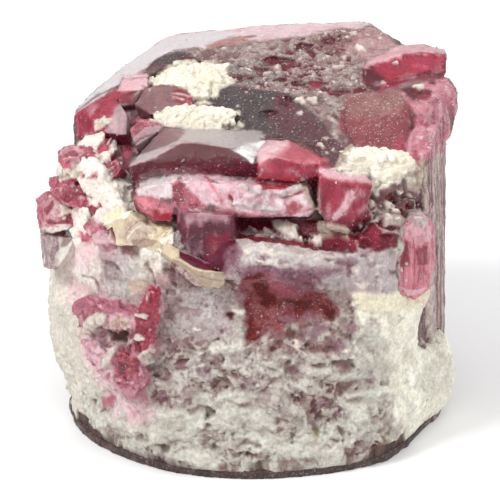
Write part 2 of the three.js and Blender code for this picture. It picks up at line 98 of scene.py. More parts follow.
bpy.ops.mesh.primitive_plane_add(size=stageSettings["floorSize"], location=(0, 0, 0))
floor = bpy.context.object
floor.name = "floor"
paper = bpy.data.materials.new("paper")
paper.use_nodes = True
paperInputs = paper.node_tree.nodes["Principled BSDF"].inputs
paperInputs["Base Color"].default_value = (*stageSettings["floorColour"], 1)
paperInputs["Roughness"].default_value = stageSettings["floorRoughness"]
paperInputs["Emission Color"].default_value = (1, 1, 1, 1)
paperInputs["Emission Strength"].default_value = stageSettings["floorGlow"]
floor.data.materials.append(paper)

world = bpy.data.worlds.new("studio")
bpy.context.scene.world = world
world.use_nodes = True
sky = world.node_tree
background = sky.nodes["Background"]
background.inputs["Color"].default_value = (1, 1, 1, 1)
direction = sky.nodes.new("ShaderNodeTexCoord")
heightOf = sky.nodes.new("ShaderNodeSeparateXYZ")
brightness = sky.nodes.new("ShaderNodeMapRange")
for socket, setting in stageSettings["skyRamp"].items():
    brightness.inputs[socket].default_value = setting
sky.links.new(direction.outputs["Generated"], heightOf.inputs["Vector"])
sky.links.new(heightOf.outputs["Z"], brightness.inputs["Value"])
sky.links.new(brightness.outputs["Result"], background.inputs["Strength"])

for name, lampSettings in stageSettings["lamps"].items():
    bpy.ops.object.light_add(type="AREA", location=lampSettings["place"])
    lamp = bpy.context.object
    lamp.name = name
    lamp.data.shape = "SQUARE"
    lamp.data.size = lampSettings["size"]
    lamp.data.energy = lampSettings["power"]
    beam = Vector(stageSettings["lampAim"]) - Vector(lampSettings["place"])
    lamp.rotation_euler = beam.to_track_quat("-Z", "Y").to_euler()
report("stage")


# shaping helpers; lengths inside them are in millimetres

def deselectAll():
    if bpy.context.object and bpy.context.object.mode != "OBJECT":
        bpy.ops.object.mode_set(mode="OBJECT")
    bpy.ops.object.select_all(action="DESELECT")


def pick(obj):
    deselectAll()
    obj.select_set(True)
    bpy.context.view_layer.objects.active = obj


def shape(obj, kind, **settings):
    pick(obj)
    bpy.ops.object.modifier_add(type=kind)
    modifier = obj.modifiers[-1]
    for key, value in settings.items():
        setattr(modifier, key, value)
    bpy.ops.object.modifier_apply(modifier=modifier.name)


def copyOfNode(nodeName, pieceName):
    pick(frame["nodes"][nodeName])
    bpy.ops.object.duplicate()
    piece = bpy.context.object
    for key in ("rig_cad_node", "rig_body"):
        del piece[key]
    piece.parent = None
    piece.name = pieceName
    piece.data.name = pieceName
    piece.data.materials.clear()
    bpy.ops.object.mode_set(mode="EDIT")
    bpy.ops.mesh.select_all(action="SELECT")
    bpy.ops.mesh.remove_doubles(threshold=0.001 * mm)
    bpy.ops.object.mode_set(mode="OBJECT")
    return piece


def triples(rows, key):
    flat = np.empty(len(rows) * 3, np.float32)
    rows.foreach_get(key, flat)
    return flat.reshape(-1, 3).astype(float)


def places(piece):
    return triples(piece.data.vertices, "co") / mm


def facings(piece):
    return triples(piece.data.vertex_normals, "vector")


def moveTo(piece, where):
    where[:, 2] = np.maximum(where[:, 2], 0)  # it stands on its base
    piece.data.vertices.foreach_set("co", (where * mm).astype(np.float32).ravel())
    piece.data.update()


def ease(low, high, value):
    t = np.clip((value - low) / (high - low), 0, 1)  # low above high turns it round
    return t * t * (3 - 2 * t)


def chance(cells, seed):
    # one repeatable number from 0 to 1 for each whole-numbered cell, stirred with large factors
    x, y, z = (cells * (73856093, 19349663, 83492791)).T
    n = x ^ y ^ z ^ (seed + 11) * 265443576
    for shift, factor in ((13, 1274126177), (15, 668265263)):
        n = (n ^ (n >> shift)) * factor & 0x7fffffff
    return ((n ^ (n >> 16)) & 0xffff) / 0xffff


def swell(where, size, seed=0):
    # smooth rise and fall from -1 to 1
    p = where / size
    base = np.floor(p).astype(np.int64)
    f = p - base
    f = f * f * (3 - 2 * f)
    total = np.zeros(len(p))
    for corner in itertools.product((0, 1), repeat=3):
        weight = np.prod(np.where(np.array(corner), f, 1 - f), axis=1)
        total += weight * chance(base + np.array(corner), seed)
    return total * 2 - 1


def rough(where, size, seed=0, octaves=3, fading=0.55, spread=1.6):
    total, share = np.zeros(len(where)), 1.0
    for octave in range(octaves):
        total += share * swell(where, size / 2 ** octave, seed + 7 * octave)
        share *= fading
    return total / spread


def warped(where, size, amount, seed=0):
    # the same points pushed about, so that what is drawn on them has uneven edges
    return where + amount * size * np.stack([rough(where, size, seed + k, 2) for k in (1, 2, 3)], axis=1)


def ridges(where, size, seed=0):
    # thin crests with wide hollows between them
    return 1 - 3.0 * np.abs(rough(warped(where, size, 0.35, seed + 40), size, seed, 4))


def plates(where, size, seed=0):
    # a heap of broken plates, where each jittered cell is one tilted facet; returns its height and roundness
    p = warped(where, size, 0.45, seed) / size
    base = np.floor(p).astype(np.int64)
    closest, height = np.full(len(p), 9.0), np.zeros(len(p))
    for step in itertools.product((-1, 0, 1), repeat=3):
        cell = base + np.array(step)
        centre = np.stack([chance(cell, seed + k) for k in (1, 2, 3)], axis=1)
        away = p - cell - centre
        gap = np.sqrt((away ** 2).sum(axis=1))
        closer = gap < closest
        closest = np.minimum(closest, gap)
        lean = np.stack([chance(cell, seed + k) for k in (4, 5, 6)], axis=1) - 0.5
        height = np.where(closer, (away * lean).sum(axis=1) * 1.6 + (centre[:, 0] - 0.5) * 0.5, height)
    return height, 1 - 1.6 * closest


# colour by zones: an outline is in the camera's own frame and marks only what the camera sees there

# each finish: colour, second colour of its patches, their share and size, roughness, clearness, sparkle
# (painted glints), relief in mm, the colour under it, and how much of that shows in coarse and in fine specks
finishes = {
    "plainBody": ((150, 132, 128), (112, 84, 86), 0.5, 0.7, 0.45, 0.1, 0.3, 0.1, (84, 44, 50), 0.5, 0.4),
    "rosyBlur": ((212, 170, 178), (228, 202, 206), 0.5, 0.9, 0.55, 0.3, 0.1, 0.06,
        (206, 136, 148), 0.4, 0.2),
    # painted sheen: pale grey-pink standing in for the sky mirrored by the left top bevel
    "paleBevel": ((212, 200, 202), (222, 212, 214), 0.4, 2.0, 0.4, 0.2, 0.0, 0.01,
        (200, 180, 184), 0.0, 0.05),
    "terrace": ((196, 182, 176), (160, 138, 134), 0.35, 0.5, 0.6, 0.0, 0.6, 0.22, (100, 50, 54), 0.7, 0.6),
    "plateau": ((226, 216, 210), (186, 168, 162), 0.45, 0.45, 0.6, 0.0, 1.2, 0.34, (112, 48, 56), 0.6, 0.8),
    "rosyPlateau": ((172, 132, 132), (196, 158, 158), 0.4, 0.5, 0.5, 0.1, 0.6, 0.14,
        (120, 54, 64), 0.5, 0.5),
    # a dark grey-brown film; under the back terrace's edge it is laid as painted shade
    "darkFilm": ((104, 92, 91), (78, 66, 67), 0.45, 0.5, 0.45, 0.0, 0.6, 0.05, (60, 34, 40), 0.5, 0.5),
    "brownFilm": ((130, 90, 92), (100, 60, 66), 0.45, 0.6, 0.4, 0.1, 0.6, 0.06, (80, 32, 42), 0.6, 0.6),
    "granular": ((186, 112, 116), (152, 78, 84), 0.45, 0.5, 0.45, 0.2, 0.9, 0.12, (128, 44, 54), 0.6, 0.8),
    "lobeSkin": ((252, 226, 228), (222, 150, 164), 0.45, 0.5, 0.3, 0.3, 0.9, 0.2, (172, 76, 98), 0.6, 0.6),
    "greyEdge": ((168, 152, 150), (140, 120, 120), 0.4, 0.5, 0.5, 0.0, 0.4, 0.08, (110, 66, 72), 0.4, 0.4),
    # painted sheen: pale grey standing in for the sky mirrored by the ledge's top
    "satinGrey": ((194, 182, 179), (182, 170, 169), 0.4, 2.0, 0.3, 0.05, 0.02, 0.006,
        (150, 138, 138), 0.0, 0.1),
    # painted sheen: pale rose where facets mirror the sky
    "satinRose": ((190, 164, 166), (174, 144, 148), 0.4, 1.0, 0.35, 0.1, 0.05, 0.01,
        (130, 100, 104), 0.1, 0.2),
    "brownFacet": ((120, 80, 82), (146, 106, 108), 0.4, 0.8, 0.3, 0.2, 0.03, 0.03, (98, 52, 60), 0.35, 0.4),
    # painted highlight: pure white standing in for the light mirrored by one facet
    "flash": ((255, 255, 255), (255, 252, 252), 0.2, 1.0, 0.2, 0.0, 0.0, 0.0, (255, 255, 255), 0.0, 0.0),
    "raspberry": ((204, 76, 104), (166, 44, 72), 0.45, 1.2, 0.12, 0.75, 0.12, 0.02,
        (128, 20, 48), 0.65, 0.12),
    "deepRose": ((172, 78, 98), (200, 116, 130), 0.45, 0.5, 0.25, 0.5, 0.8, 0.1, (116, 30, 52), 0.7, 0.5),
    "rose": ((206, 92, 112), (224, 136, 150), 0.45, 0.6, 0.18, 0.65, 0.4, 0.06, (166, 46, 72), 0.6, 0.25),
    "salmon": ((204, 112, 120), (182, 84, 98), 0.4, 1.2, 0.14, 0.65, 0.04, 0.008, (166, 58, 76), 0.45, 0.1),
    # a pale pink; on the crystals' top facets it is painted sheen, and over one shaded left crystal painted
    # light
    "palePink": ((230, 198, 200), (218, 176, 182), 0.4, 1.2, 0.24, 0.4, 0.03, 0.008,
        (206, 146, 154), 0.15, 0.04),
    "crimson": ((194, 36, 62), (154, 22, 46), 0.4, 1.0, 0.12, 0.7, 0.12, 0.015, (112, 12, 30), 0.5, 0.1),
    "wine": ((136, 18, 48), (96, 12, 34), 0.45, 1.0, 0.14, 0.7, 0.06, 0.04, (66, 6, 22), 0.4, 0.08),
    "darkWine": ((130, 36, 54), (96, 22, 38), 0.4, 0.5, 0.3, 0.4, 0.7, 0.1, (72, 12, 26), 0.5, 0.5),
    "mauve": ((116, 56, 76), (92, 40, 60), 0.4, 1.0, 0.2, 0.6, 0.05, 0.02, (74, 36, 48), 0.3, 0.1),
    "purple": ((132, 48, 78), (96, 26, 50), 0.45, 1.2, 0.18, 0.7, 0.1, 0.03, (74, 16, 36), 0.5, 0.15),
    "streaky": ((246, 234, 234), (236, 206, 212), 0.4, 0.9, 0.5, 0.3, 0.3, 0.28, (204, 120, 140), 0.6, 0.1),
    "whiteSkin": ((244, 236, 234), (232, 220, 220), 0.4, 0.8, 0.5, 0.2, 0.2, 0.16,
        (206, 172, 180), 0.4, 0.2),
    "cream": ((250, 247, 236), (241, 233, 216), 0.35, 0.5, 0.7, 0.1, 0.2, 0.32, (204, 188, 164), 0.55, 0.3),
    "mixedChips": ((244, 234, 224), (214, 192, 184), 0.42, 0.5, 0.5, 0.1, 0.6, 0.38,
        (110, 24, 40), 1.0, 0.4),
    "stripedSide": ((246, 234, 224), (216, 198, 190), 0.45, 0.4, 0.5, 0.0, 0.5, 0.1,
        (130, 96, 94), 0.5, 0.6),
    "darkRim": ((96, 68, 62), (60, 40, 39), 0.45, 0.6, 0.4, 0.0, 0.4, 0.12, (124, 98, 90), 0.45, 0.45),
    "albite": ((224, 221, 210), (198, 192, 184), 0.42, 1.1, 0.7, 0.15, 0.3, 0.9, (142, 116, 108), 0.8, 0.5),
    "clumpWhite": ((226, 226, 214), (200, 197, 187), 0.42, 1.3, 0.7, 0.15, 0.25, 0.9,
        (142, 120, 112), 0.7, 0.45),
    "lilac": ((226, 219, 215), (203, 190, 186), 0.45, 0.8, 0.65, 0.2, 0.4, 0.9,
        (142, 108, 106), 0.85, 0.75),
    "freckled": ((198, 184, 176), (172, 150, 146), 0.5, 0.5, 0.65, 0.1, 0.4, 1.0, (108, 66, 64), 1.0, 0.9),
    "smoothFan": ((250, 248, 236), (238, 235, 219), 0.4, 1.4, 0.6, 0.15, 0.1, 0.6,
        (200, 192, 176), 0.45, 0.1),
    "fanRim": ((240, 236, 216), (230, 222, 198), 0.4, 1.2, 0.55, 0.15, 0.1, 0.4,
        (202, 186, 152), 0.4, 0.15),
    "leftCream": ((236, 232, 220), (220, 214, 202), 0.4, 1.4, 0.7, 0.15, 0.2, 0.8,
        (182, 168, 156), 0.55, 0.35),
    "creamCrust": ((255, 254, 246), (250, 242, 230), 0.4, 0.9, 0.7, 0.1, 0.3, 0.85,
        (240, 212, 202), 0.5, 0.4),
    "yellowSpot": ((240, 224, 164), (246, 236, 196), 0.4, 0.8, 0.7, 0.1, 0.1, 0.4,
        (214, 196, 140), 0.2, 0.1),
    "pinkHalo": ((228, 200, 202), (238, 216, 216), 0.45, 0.7, 0.6, 0.3, 0.3, 0.7,
        (210, 118, 136), 0.9, 0.7),
    "redStain": ((146, 38, 42), (114, 20, 24), 0.45, 0.5, 0.4, 0.45, 0.8, 0.4, (178, 118, 122), 0.5, 0.5),
    "rustRed": ((118, 26, 24), (92, 18, 16), 0.4, 0.5, 0.4, 0.3, 0.3, 0.2, (66, 10, 10), 0.4, 0.2),
    "purpleFrost": ((190, 166, 174), (156, 116, 130), 0.45, 0.5, 0.6, 0.2, 0.4, 0.6,
        (120, 66, 84), 0.8, 0.7),
    "peach": ((226, 204, 180), (216, 190, 162), 0.4, 0.8, 0.45, 0.2, 0.2, 0.3, (200, 164, 138), 0.5, 0.3),
    "brownPit": ((142, 104, 70), (116, 74, 54), 0.4, 0.8, 0.5, 0.2, 0.1, 0.3, (80, 44, 34), 0.4, 0.2),
    "yellowStain": ((176, 150, 84), (140, 110, 60), 0.4, 0.5, 0.6, 0.0, 0.1, 0.5, (110, 84, 44), 0.4, 0.2),
    "greyPit": ((158, 148, 138), (128, 114, 108), 0.4, 0.5, 0.6, 0.0, 0.2, 0.5, (100, 80, 74), 0.7, 0.6),
    "glassyGrey": ((238, 228, 224), (192, 166, 166), 0.45, 0.5, 0.2, 0.3, 0.8, 0.16,
        (122, 78, 86), 0.6, 0.5),
    "mica": ((222, 208, 182), (204, 188, 160), 0.45, 0.9, 0.4, 0.1, 0.1, 0.12, (158, 134, 108), 0.4, 0.2),
    "paleTerrace": ((214, 202, 196), (188, 168, 162), 0.4, 0.6, 0.6, 0.0, 1.0, 0.22,
        (112, 64, 68), 0.5, 0.7),
    "brownTerrace": ((190, 158, 152), (158, 122, 118), 0.45, 0.6, 0.55, 0.0, 1.1, 0.26,
        (108, 48, 54), 0.6, 0.7),
    "greyTerrace": ((204, 194, 184), (158, 146, 140), 0.45, 0.45, 0.6, 0.0, 1.0, 0.28,
        (78, 44, 48), 0.7, 0.7),
    "pitWine": ((132, 26, 46), (98, 14, 32), 0.4, 0.4, 0.35, 0.4, 0.35, 0.12, (66, 8, 20), 0.3, 0.2),
    "chipWhite": ((246, 240, 228), (230, 218, 206), 0.4, 0.5, 0.65, 0.1, 0.2, 0.16,
        (196, 172, 160), 0.35, 0.2),
    "chipBeige": ((212, 198, 182), (190, 172, 156), 0.45, 0.6, 0.6, 0.05, 0.3, 0.18,
        (146, 116, 104), 0.5, 0.4),
    "brownGranular": ((150, 112, 106), (168, 124, 118), 0.45, 0.5, 0.5, 0.1, 0.8, 0.08,
        (112, 62, 62), 0.3, 0.7),
    "redLens": ((166, 100, 92), (190, 140, 128), 0.45, 0.5, 0.35, 0.2, 0.4, 0.08, (120, 46, 44), 0.4, 0.3),
    # painted highlight: pale pink lines along crystal edges where the light catches them
    "edgeLight": ((230, 160, 170), (240, 190, 196), 0.4, 0.5, 0.2, 0.4, 0.2, 0.0,
        (200, 110, 124), 0.2, 0.1),
    "wineLine": ((128, 62, 74), (104, 44, 58), 0.4, 0.5, 0.3, 0.3, 0.3, 0.04, (84, 26, 40), 0.4, 0.3),
    "pinkSkin": ((232, 190, 194), (216, 160, 168), 0.45, 0.6, 0.35, 0.3, 0.5, 0.12,
        (178, 92, 108), 0.5, 0.4),
    "rosyWash": ((230, 172, 184), (240, 206, 212), 0.45, 0.6, 0.4, 0.4, 0.3, 0.16,
        (202, 104, 126), 0.45, 0.2),
    "archFacet": ((84, 38, 40), (100, 54, 56), 0.4, 1.2, 0.3, 0.2, 0.05, 0.01, (74, 36, 40), 0.1, 0.2),
    "frostWhite": ((232, 228, 224), (212, 204, 202), 0.4, 0.6, 0.65, 0.15, 0.4, 0.6,
        (168, 142, 144), 0.7, 0.5),
    "frostRose": ((220, 208, 206), (198, 182, 184), 0.45, 0.7, 0.6, 0.15, 0.35, 0.6,
        (160, 128, 136), 0.7, 0.6),
    "brownCrease": ((160, 134, 124), (134, 106, 98), 0.45, 0.5, 0.6, 0.0, 0.2, 0.5, (96, 64, 60), 0.7, 0.7),
    # painted light: a crimson brighter than the crystal's own wine, laid where the hollow under the ledge and
    # the underside are in shade
    "shadeWine": ((176, 52, 78), (134, 30, 54), 0.42, 0.6, 0.25, 0.5, 0.6, 0.08, (92, 14, 32), 0.6, 0.3),
    "crest": ((234, 233, 222), (216, 213, 201), 0.4, 0.9, 0.65, 0.15, 0.2, 0.6,
        (170, 154, 144), 0.45, 0.25),
    "roseFrost": ((212, 138, 154), (192, 108, 128), 0.45, 0.6, 0.4, 0.35, 0.5, 0.3,
        (156, 58, 84), 0.6, 0.35),
    "flankLight": ((210, 184, 178), (178, 142, 142), 0.4, 0.8, 0.45, 0.2, 0.3, 0.06,
        (128, 80, 86), 0.5, 0.4),
    "flankDark": ((130, 70, 78), (106, 50, 60), 0.4, 0.7, 0.4, 0.3, 0.2, 0.06, (84, 30, 42), 0.5, 0.3),
    "gemDeep": ((172, 46, 76), (142, 30, 56), 0.4, 1.4, 0.15, 0.7, 0.1, 0.02, (120, 20, 44), 0.3, 0.08),
    "brownRose": ((172, 138, 134), (150, 112, 110), 0.45, 0.5, 0.6, 0.1, 0.5, 0.9, (112, 58, 58), 0.9, 0.8),
    "etchedRose": ((228, 132, 150), (198, 92, 114), 0.45, 0.6, 0.18, 0.55, 0.5, 0.1,
        (146, 36, 64), 0.75, 0.3),
    "micaEdge": ((184, 168, 146), (158, 142, 122), 0.4, 0.5, 0.4, 0.1, 0.1, 0.08,
        (136, 118, 100), 0.4, 0.3),
}


def linear(colour):
    c = np.array(colour, float) / 255
    return np.where(c <= 0.04045, c / 12.92, ((c + 0.055) / 1.055) ** 2.4)


def inFrame(where):
    # where each point shows in the camera's frame
    away = where - np.array(eye) / mm
    up = np.array((0, math.sin(tilt), math.cos(tilt)))
    deep = away @ np.array(lineOfSight)
    scale = stageSettings["frame"] * stageSettings["lens"] / stageSettings["sensor"] / deep
    middle = stageSettings["frame"] / 2
    return np.stack([middle + scale * away[:, 0], middle - scale * (away @ up)], axis=1)


def insideBy(spots, outline):
    # distance inside (+) or outside (-) a closed outline
    corners = np.array(outline, float).reshape(-1, 2)
    closest = np.full(len(spots), 1e9)
    inside = np.zeros(len(spots), bool)
    for a, b in zip(corners, np.roll(corners, -1, axis=0)):
        side = b - a
        t = np.clip(((spots - a) @ side) / max(side @ side, 1e-9), 0, 1)
        closest = np.minimum(closest, np.hypot(*(spots - a - t[:, None] * side).T))
        crosses = (a[1] > spots[:, 1]) != (b[1] > spots[:, 1])
        rise = b[1] - a[1] if b[1] != a[1] else 1e-9
        inside ^= crosses & (spots[:, 0] < (b[0] - a[0]) * (spots[:, 1] - a[1]) / rise + a[0])
    return np.where(inside, closest, -closest)


def seenFrom(piece, where, facing, clearance=0.12, grazing=(0.02, 0.12)):
    # which points the camera sees, past the piece's own solid
    toEye = np.array(eye) / mm - where
    toEye /= np.linalg.norm(toEye, axis=1)[:, None]
    towards = (facing * toEye).sum(axis=1)
    tree = BVHTree.FromObject(piece, bpy.context.evaluated_depsgraph_get())
    seen = np.zeros(len(where))
    starts = (where + facing * clearance) * mm
    for i in np.nonzero(towards > grazing[0])[0]:
        if tree.ray_cast(Vector(starts[i]), Vector(toEye[i]))[0] is None:
            seen[i] = 1
    return seen * ease(*grazing, towards)


# what a point carries: three attributes for the material, with their own parts, then relief and dent in mm
attributes = {"tint": slice(0, 4), "under": slice(4, 8), "nature": slice(8, 12)}
colour, coarse, underColour, hollow = slice(0, 3), 3, slice(4, 7), 7
sparkle, fine, relief, dent = 10, 11, 12, 13


def coat(finishName, where):
    # the channels of one finish at these points
    first, second, amount, patch, gloss, clear, glitter, height, under, blotches, specks = finishes[finishName]
    mix = ease(0.62 - amount, 0.82 - amount, 0.5 + 0.5 * rough(where, patch, 5))[:, None]
    made = np.zeros((len(where), dent + 1))
    made[:, colour] = linear(first) * (1 - mix) + linear(second) * mix
    made[:, coarse:dent] = (blotches, *linear(under), 0.5, gloss, clear, glitter, specks, height)
    return made


def lay(paint, which, share, made):
    share = share[:, None]
    paint[which] = paint[which] * (1 - share) + made * share


def wash(paint, where, share, finishName):
    # a finish over all the points, by each one's share
    lay(paint, slice(None), share, coat(finishName, where))


def blob(x, y, across, down, turn=0, corners=14):
    # an uneven rounded outline
    turn = math.radians(turn)
    outline = []
    for k in range(corners):
        angle = math.tau * k / corners
        far = 1 + 0.2 * math.sin(3 * angle + x) + 0.14 * math.cos(5 * angle + y)
        dx, dy = across * far * math.cos(angle), down * far * math.sin(angle)
        outline.append((x + dx * math.cos(turn) - dy * math.sin(turn),
                        y + dx * math.sin(turn) + dy * math.cos(turn)))
    return outline


def stroke(line, width, taper=0.4):
    # a line drawn out to a width, thinner at its ends
    line = np.array(line, float).reshape(-1, 2)
    along = np.gradient(line, axis=0)
    across = np.stack([-along[:, 1], along[:, 0]], axis=1) / np.hypot(*along.T)[:, None]
    half = np.full((len(line), 1), width / 2)
    half[[0, -1]] *= taper
    return np.concatenate([line + across * half, (line - across * half)[::-1]])


def blobs(finishName, soft, cover, dent, *many):
    return [(finishName, soft, blob(*one), cover, dent) for one in many]


def strokes(finishName, soft, cover, dent, width, *many):
    return [(finishName, soft, stroke(one, width), cover, dent) for one in many]


zoneEdge = {
    "wobbleSize": 1.8, "sharpWobble": 0.8, "softWobble": 1.6, "fraySize": 2.2, "fineFraySize": 0.7, "fray": 0.9,
}


def paintZones(where, seen, zones, paint, edge=zoneEdge):
    # each zone is (finish, soft edge, outline), and may end with how strongly it covers and its dent in mm
    spots = inFrame(where)
    wobble = np.stack([rough(where, edge["wobbleSize"], seed, 4) for seed in (31, 57)], axis=1)
    fray = [edge["fray"] * rough(where, edge["fraySize"], seed, 4)
            + edge["fray"] * rough(where, edge["fineFraySize"], seed + 3, 3) for seed in (61, 83)]
    for k, (finishName, soft, outline, *extra) in enumerate(zones):
        cover = extra[0] if extra else 1
        corners = np.array(outline, float).reshape(-1, 2)
        reach = 3 * soft + 4
        low, high = corners.min(axis=0) - reach, corners.max(axis=0) + reach
        near = np.nonzero((seen > 0) & (spots > low).all(axis=1) & (spots < high).all(axis=1))[0]
        if len(near) == 0:
            continue
        swing = edge["sharpWobble"] if soft < 1 else edge["softWobble"]
        inside = insideBy(spots[near] + wobble[near] * swing, outline)
        if soft < 1:
            share = ease(-0.7, 0.7, inside)
        else:
            share = ease(-1, 1, inside / soft + 1.5 * fray[k % 2][near])  # frayed, with islands
        made = coat(finishName, where[near])
        made[:, dent] = extra[1] if len(extra) > 1 else 0
        lay(paint, near, share * seen[near] * cover, made)


def giveColours(mesh, paint):
    for name, part in attributes.items():
        layer = mesh.color_attributes.new(name=name, type="FLOAT_COLOR", domain="POINT")
        layer.data.foreach_set("color", paint[:, part].astype(np.float32).ravel())


def carryPaint(piece, where, paint):
    # give each vertex of the finished mesh the paint of the nearest point of the fine one
    tree = kdtree.KDTree(len(where))
    for i, p in enumerate(where.tolist()):
        tree.insert(p, i)
    tree.balance()
    giveColours(piece.data, paint[[tree.find(p)[1] for p in places(piece).tolist()]])


def treeOf(*nodeNames):
    # one search tree, in mm, over the solids of these nodes
    corners, faces = [], []
    for name in nodeNames:
        mesh = frame["nodes"][name].data
        start = len(corners)
        corners += [v.co / mm for v in mesh.vertices]
        faces += [[start + i for i in p.vertices] for p in mesh.polygons]
    return BVHTree.FromPolygons(corners, faces)


def nearest(where, tree, reach):
    # the nearest point of the tree within reach, and how far off it is
    spot, gap = where.copy(), np.full(len(where), float(reach))
    for i, p in enumerate(where.tolist()):
        found = tree.find_nearest(p, reach)
        if found[0] is not None:
            spot[i], gap[i] = found[0], found[3]
    return spot, gap


def closeSeams(where, tree, reach, bite=0.06):
    # a mineral grows right up to its neighbour: points beside it move onto it and a little way in
    spot, gap = nearest(where, tree, reach)
    along = (spot - where) / np.maximum(gap, 0.01)[:, None]
    share = ease(reach, reach * 0.6, gap)
    return where + along * ((gap + bite) * share)[:, None]


def finePiece(nodeName, pieceName, grain):
    # the node's own shape as an even, fine mesh whose points lie on its flat faces
    piece = copyOfNode(nodeName, pieceName)
    cage = copyOfNode(nodeName, "cage")
    shape(piece, "REMESH", mode="VOXEL", voxel_size=grain * mm)
    shape(piece, "SHRINKWRAP", target=cage, wrap_method="NEAREST_SURFACEPOINT")
    pick(piece)
    bpy.ops.object.shade_smooth()
    return piece, cage


def triangleCount(piece):
    return sum(len(p.vertices) - 2 for p in piece.data.polygons)


def plainParts(piece, paint, unlike=0.05):
    # points where neither they nor their neighbours change colour
    pairs = np.empty(len(piece.data.edges) * 2, np.int32)
    piece.data.edges.foreach_get("vertices", pairs)
    first, second = pairs.reshape(-1, 2).T
    parts = (paint[:, colour], 0.4 * paint[:, underColour], 0.15 * paint[:, [coarse, fine]])
    look = np.concatenate(parts, axis=1)
    change = np.abs(look[first] - look[second]).sum(axis=1)
    busy = np.zeros(len(paint))
    np.maximum.at(busy, first, change)
    np.maximum.at(busy, second, change)
    wide = busy.copy()
    np.maximum.at(wide, first, busy[second])
    np.maximum.at(wide, second, busy[first])
    return wide < unlike


def thin(piece, triangles, paint, seen, hidden):
    # thinned first where it lies hidden under another piece, then where it is turned away, then where its
    # colour is plain; the last number is the share of triangles that may go there
    count = triangleCount(piece)
    if count <= triangles:
        return
    per = count / len(seen)  # triangles to a point
    parts = (
        ("hidden", hidden > 0.5, 0.94),
        ("turned", (seen < 0.3) & (hidden <= 0.5), 0.8),
        ("plain", (seen >= 0.3) & plainParts(piece, paint), 0.8),
    )
    for name, chosen, spare in parts:
        piece.vertex_groups.new(name=name).add(np.nonzero(chosen)[0].tolist(), 1.0, "REPLACE")
    for name, chosen, spare in parts:
        count = triangleCount(piece)
        goal = max(triangles, count - spare * per * chosen.sum())
        if goal < count - 50:
            shape(piece, "DECIMATE", ratio=goal / count, vertex_group=name)
    count = triangleCount(piece)
    if count > triangles:
        shape(piece, "DECIMATE", ratio=triangles / count)
    shares = ", ".join("%s %d" % (name, per * chosen.sum()) for name, chosen, spare in parts)
    report("%s thinned, %s, last step from %d" % (piece.name, shares, count))


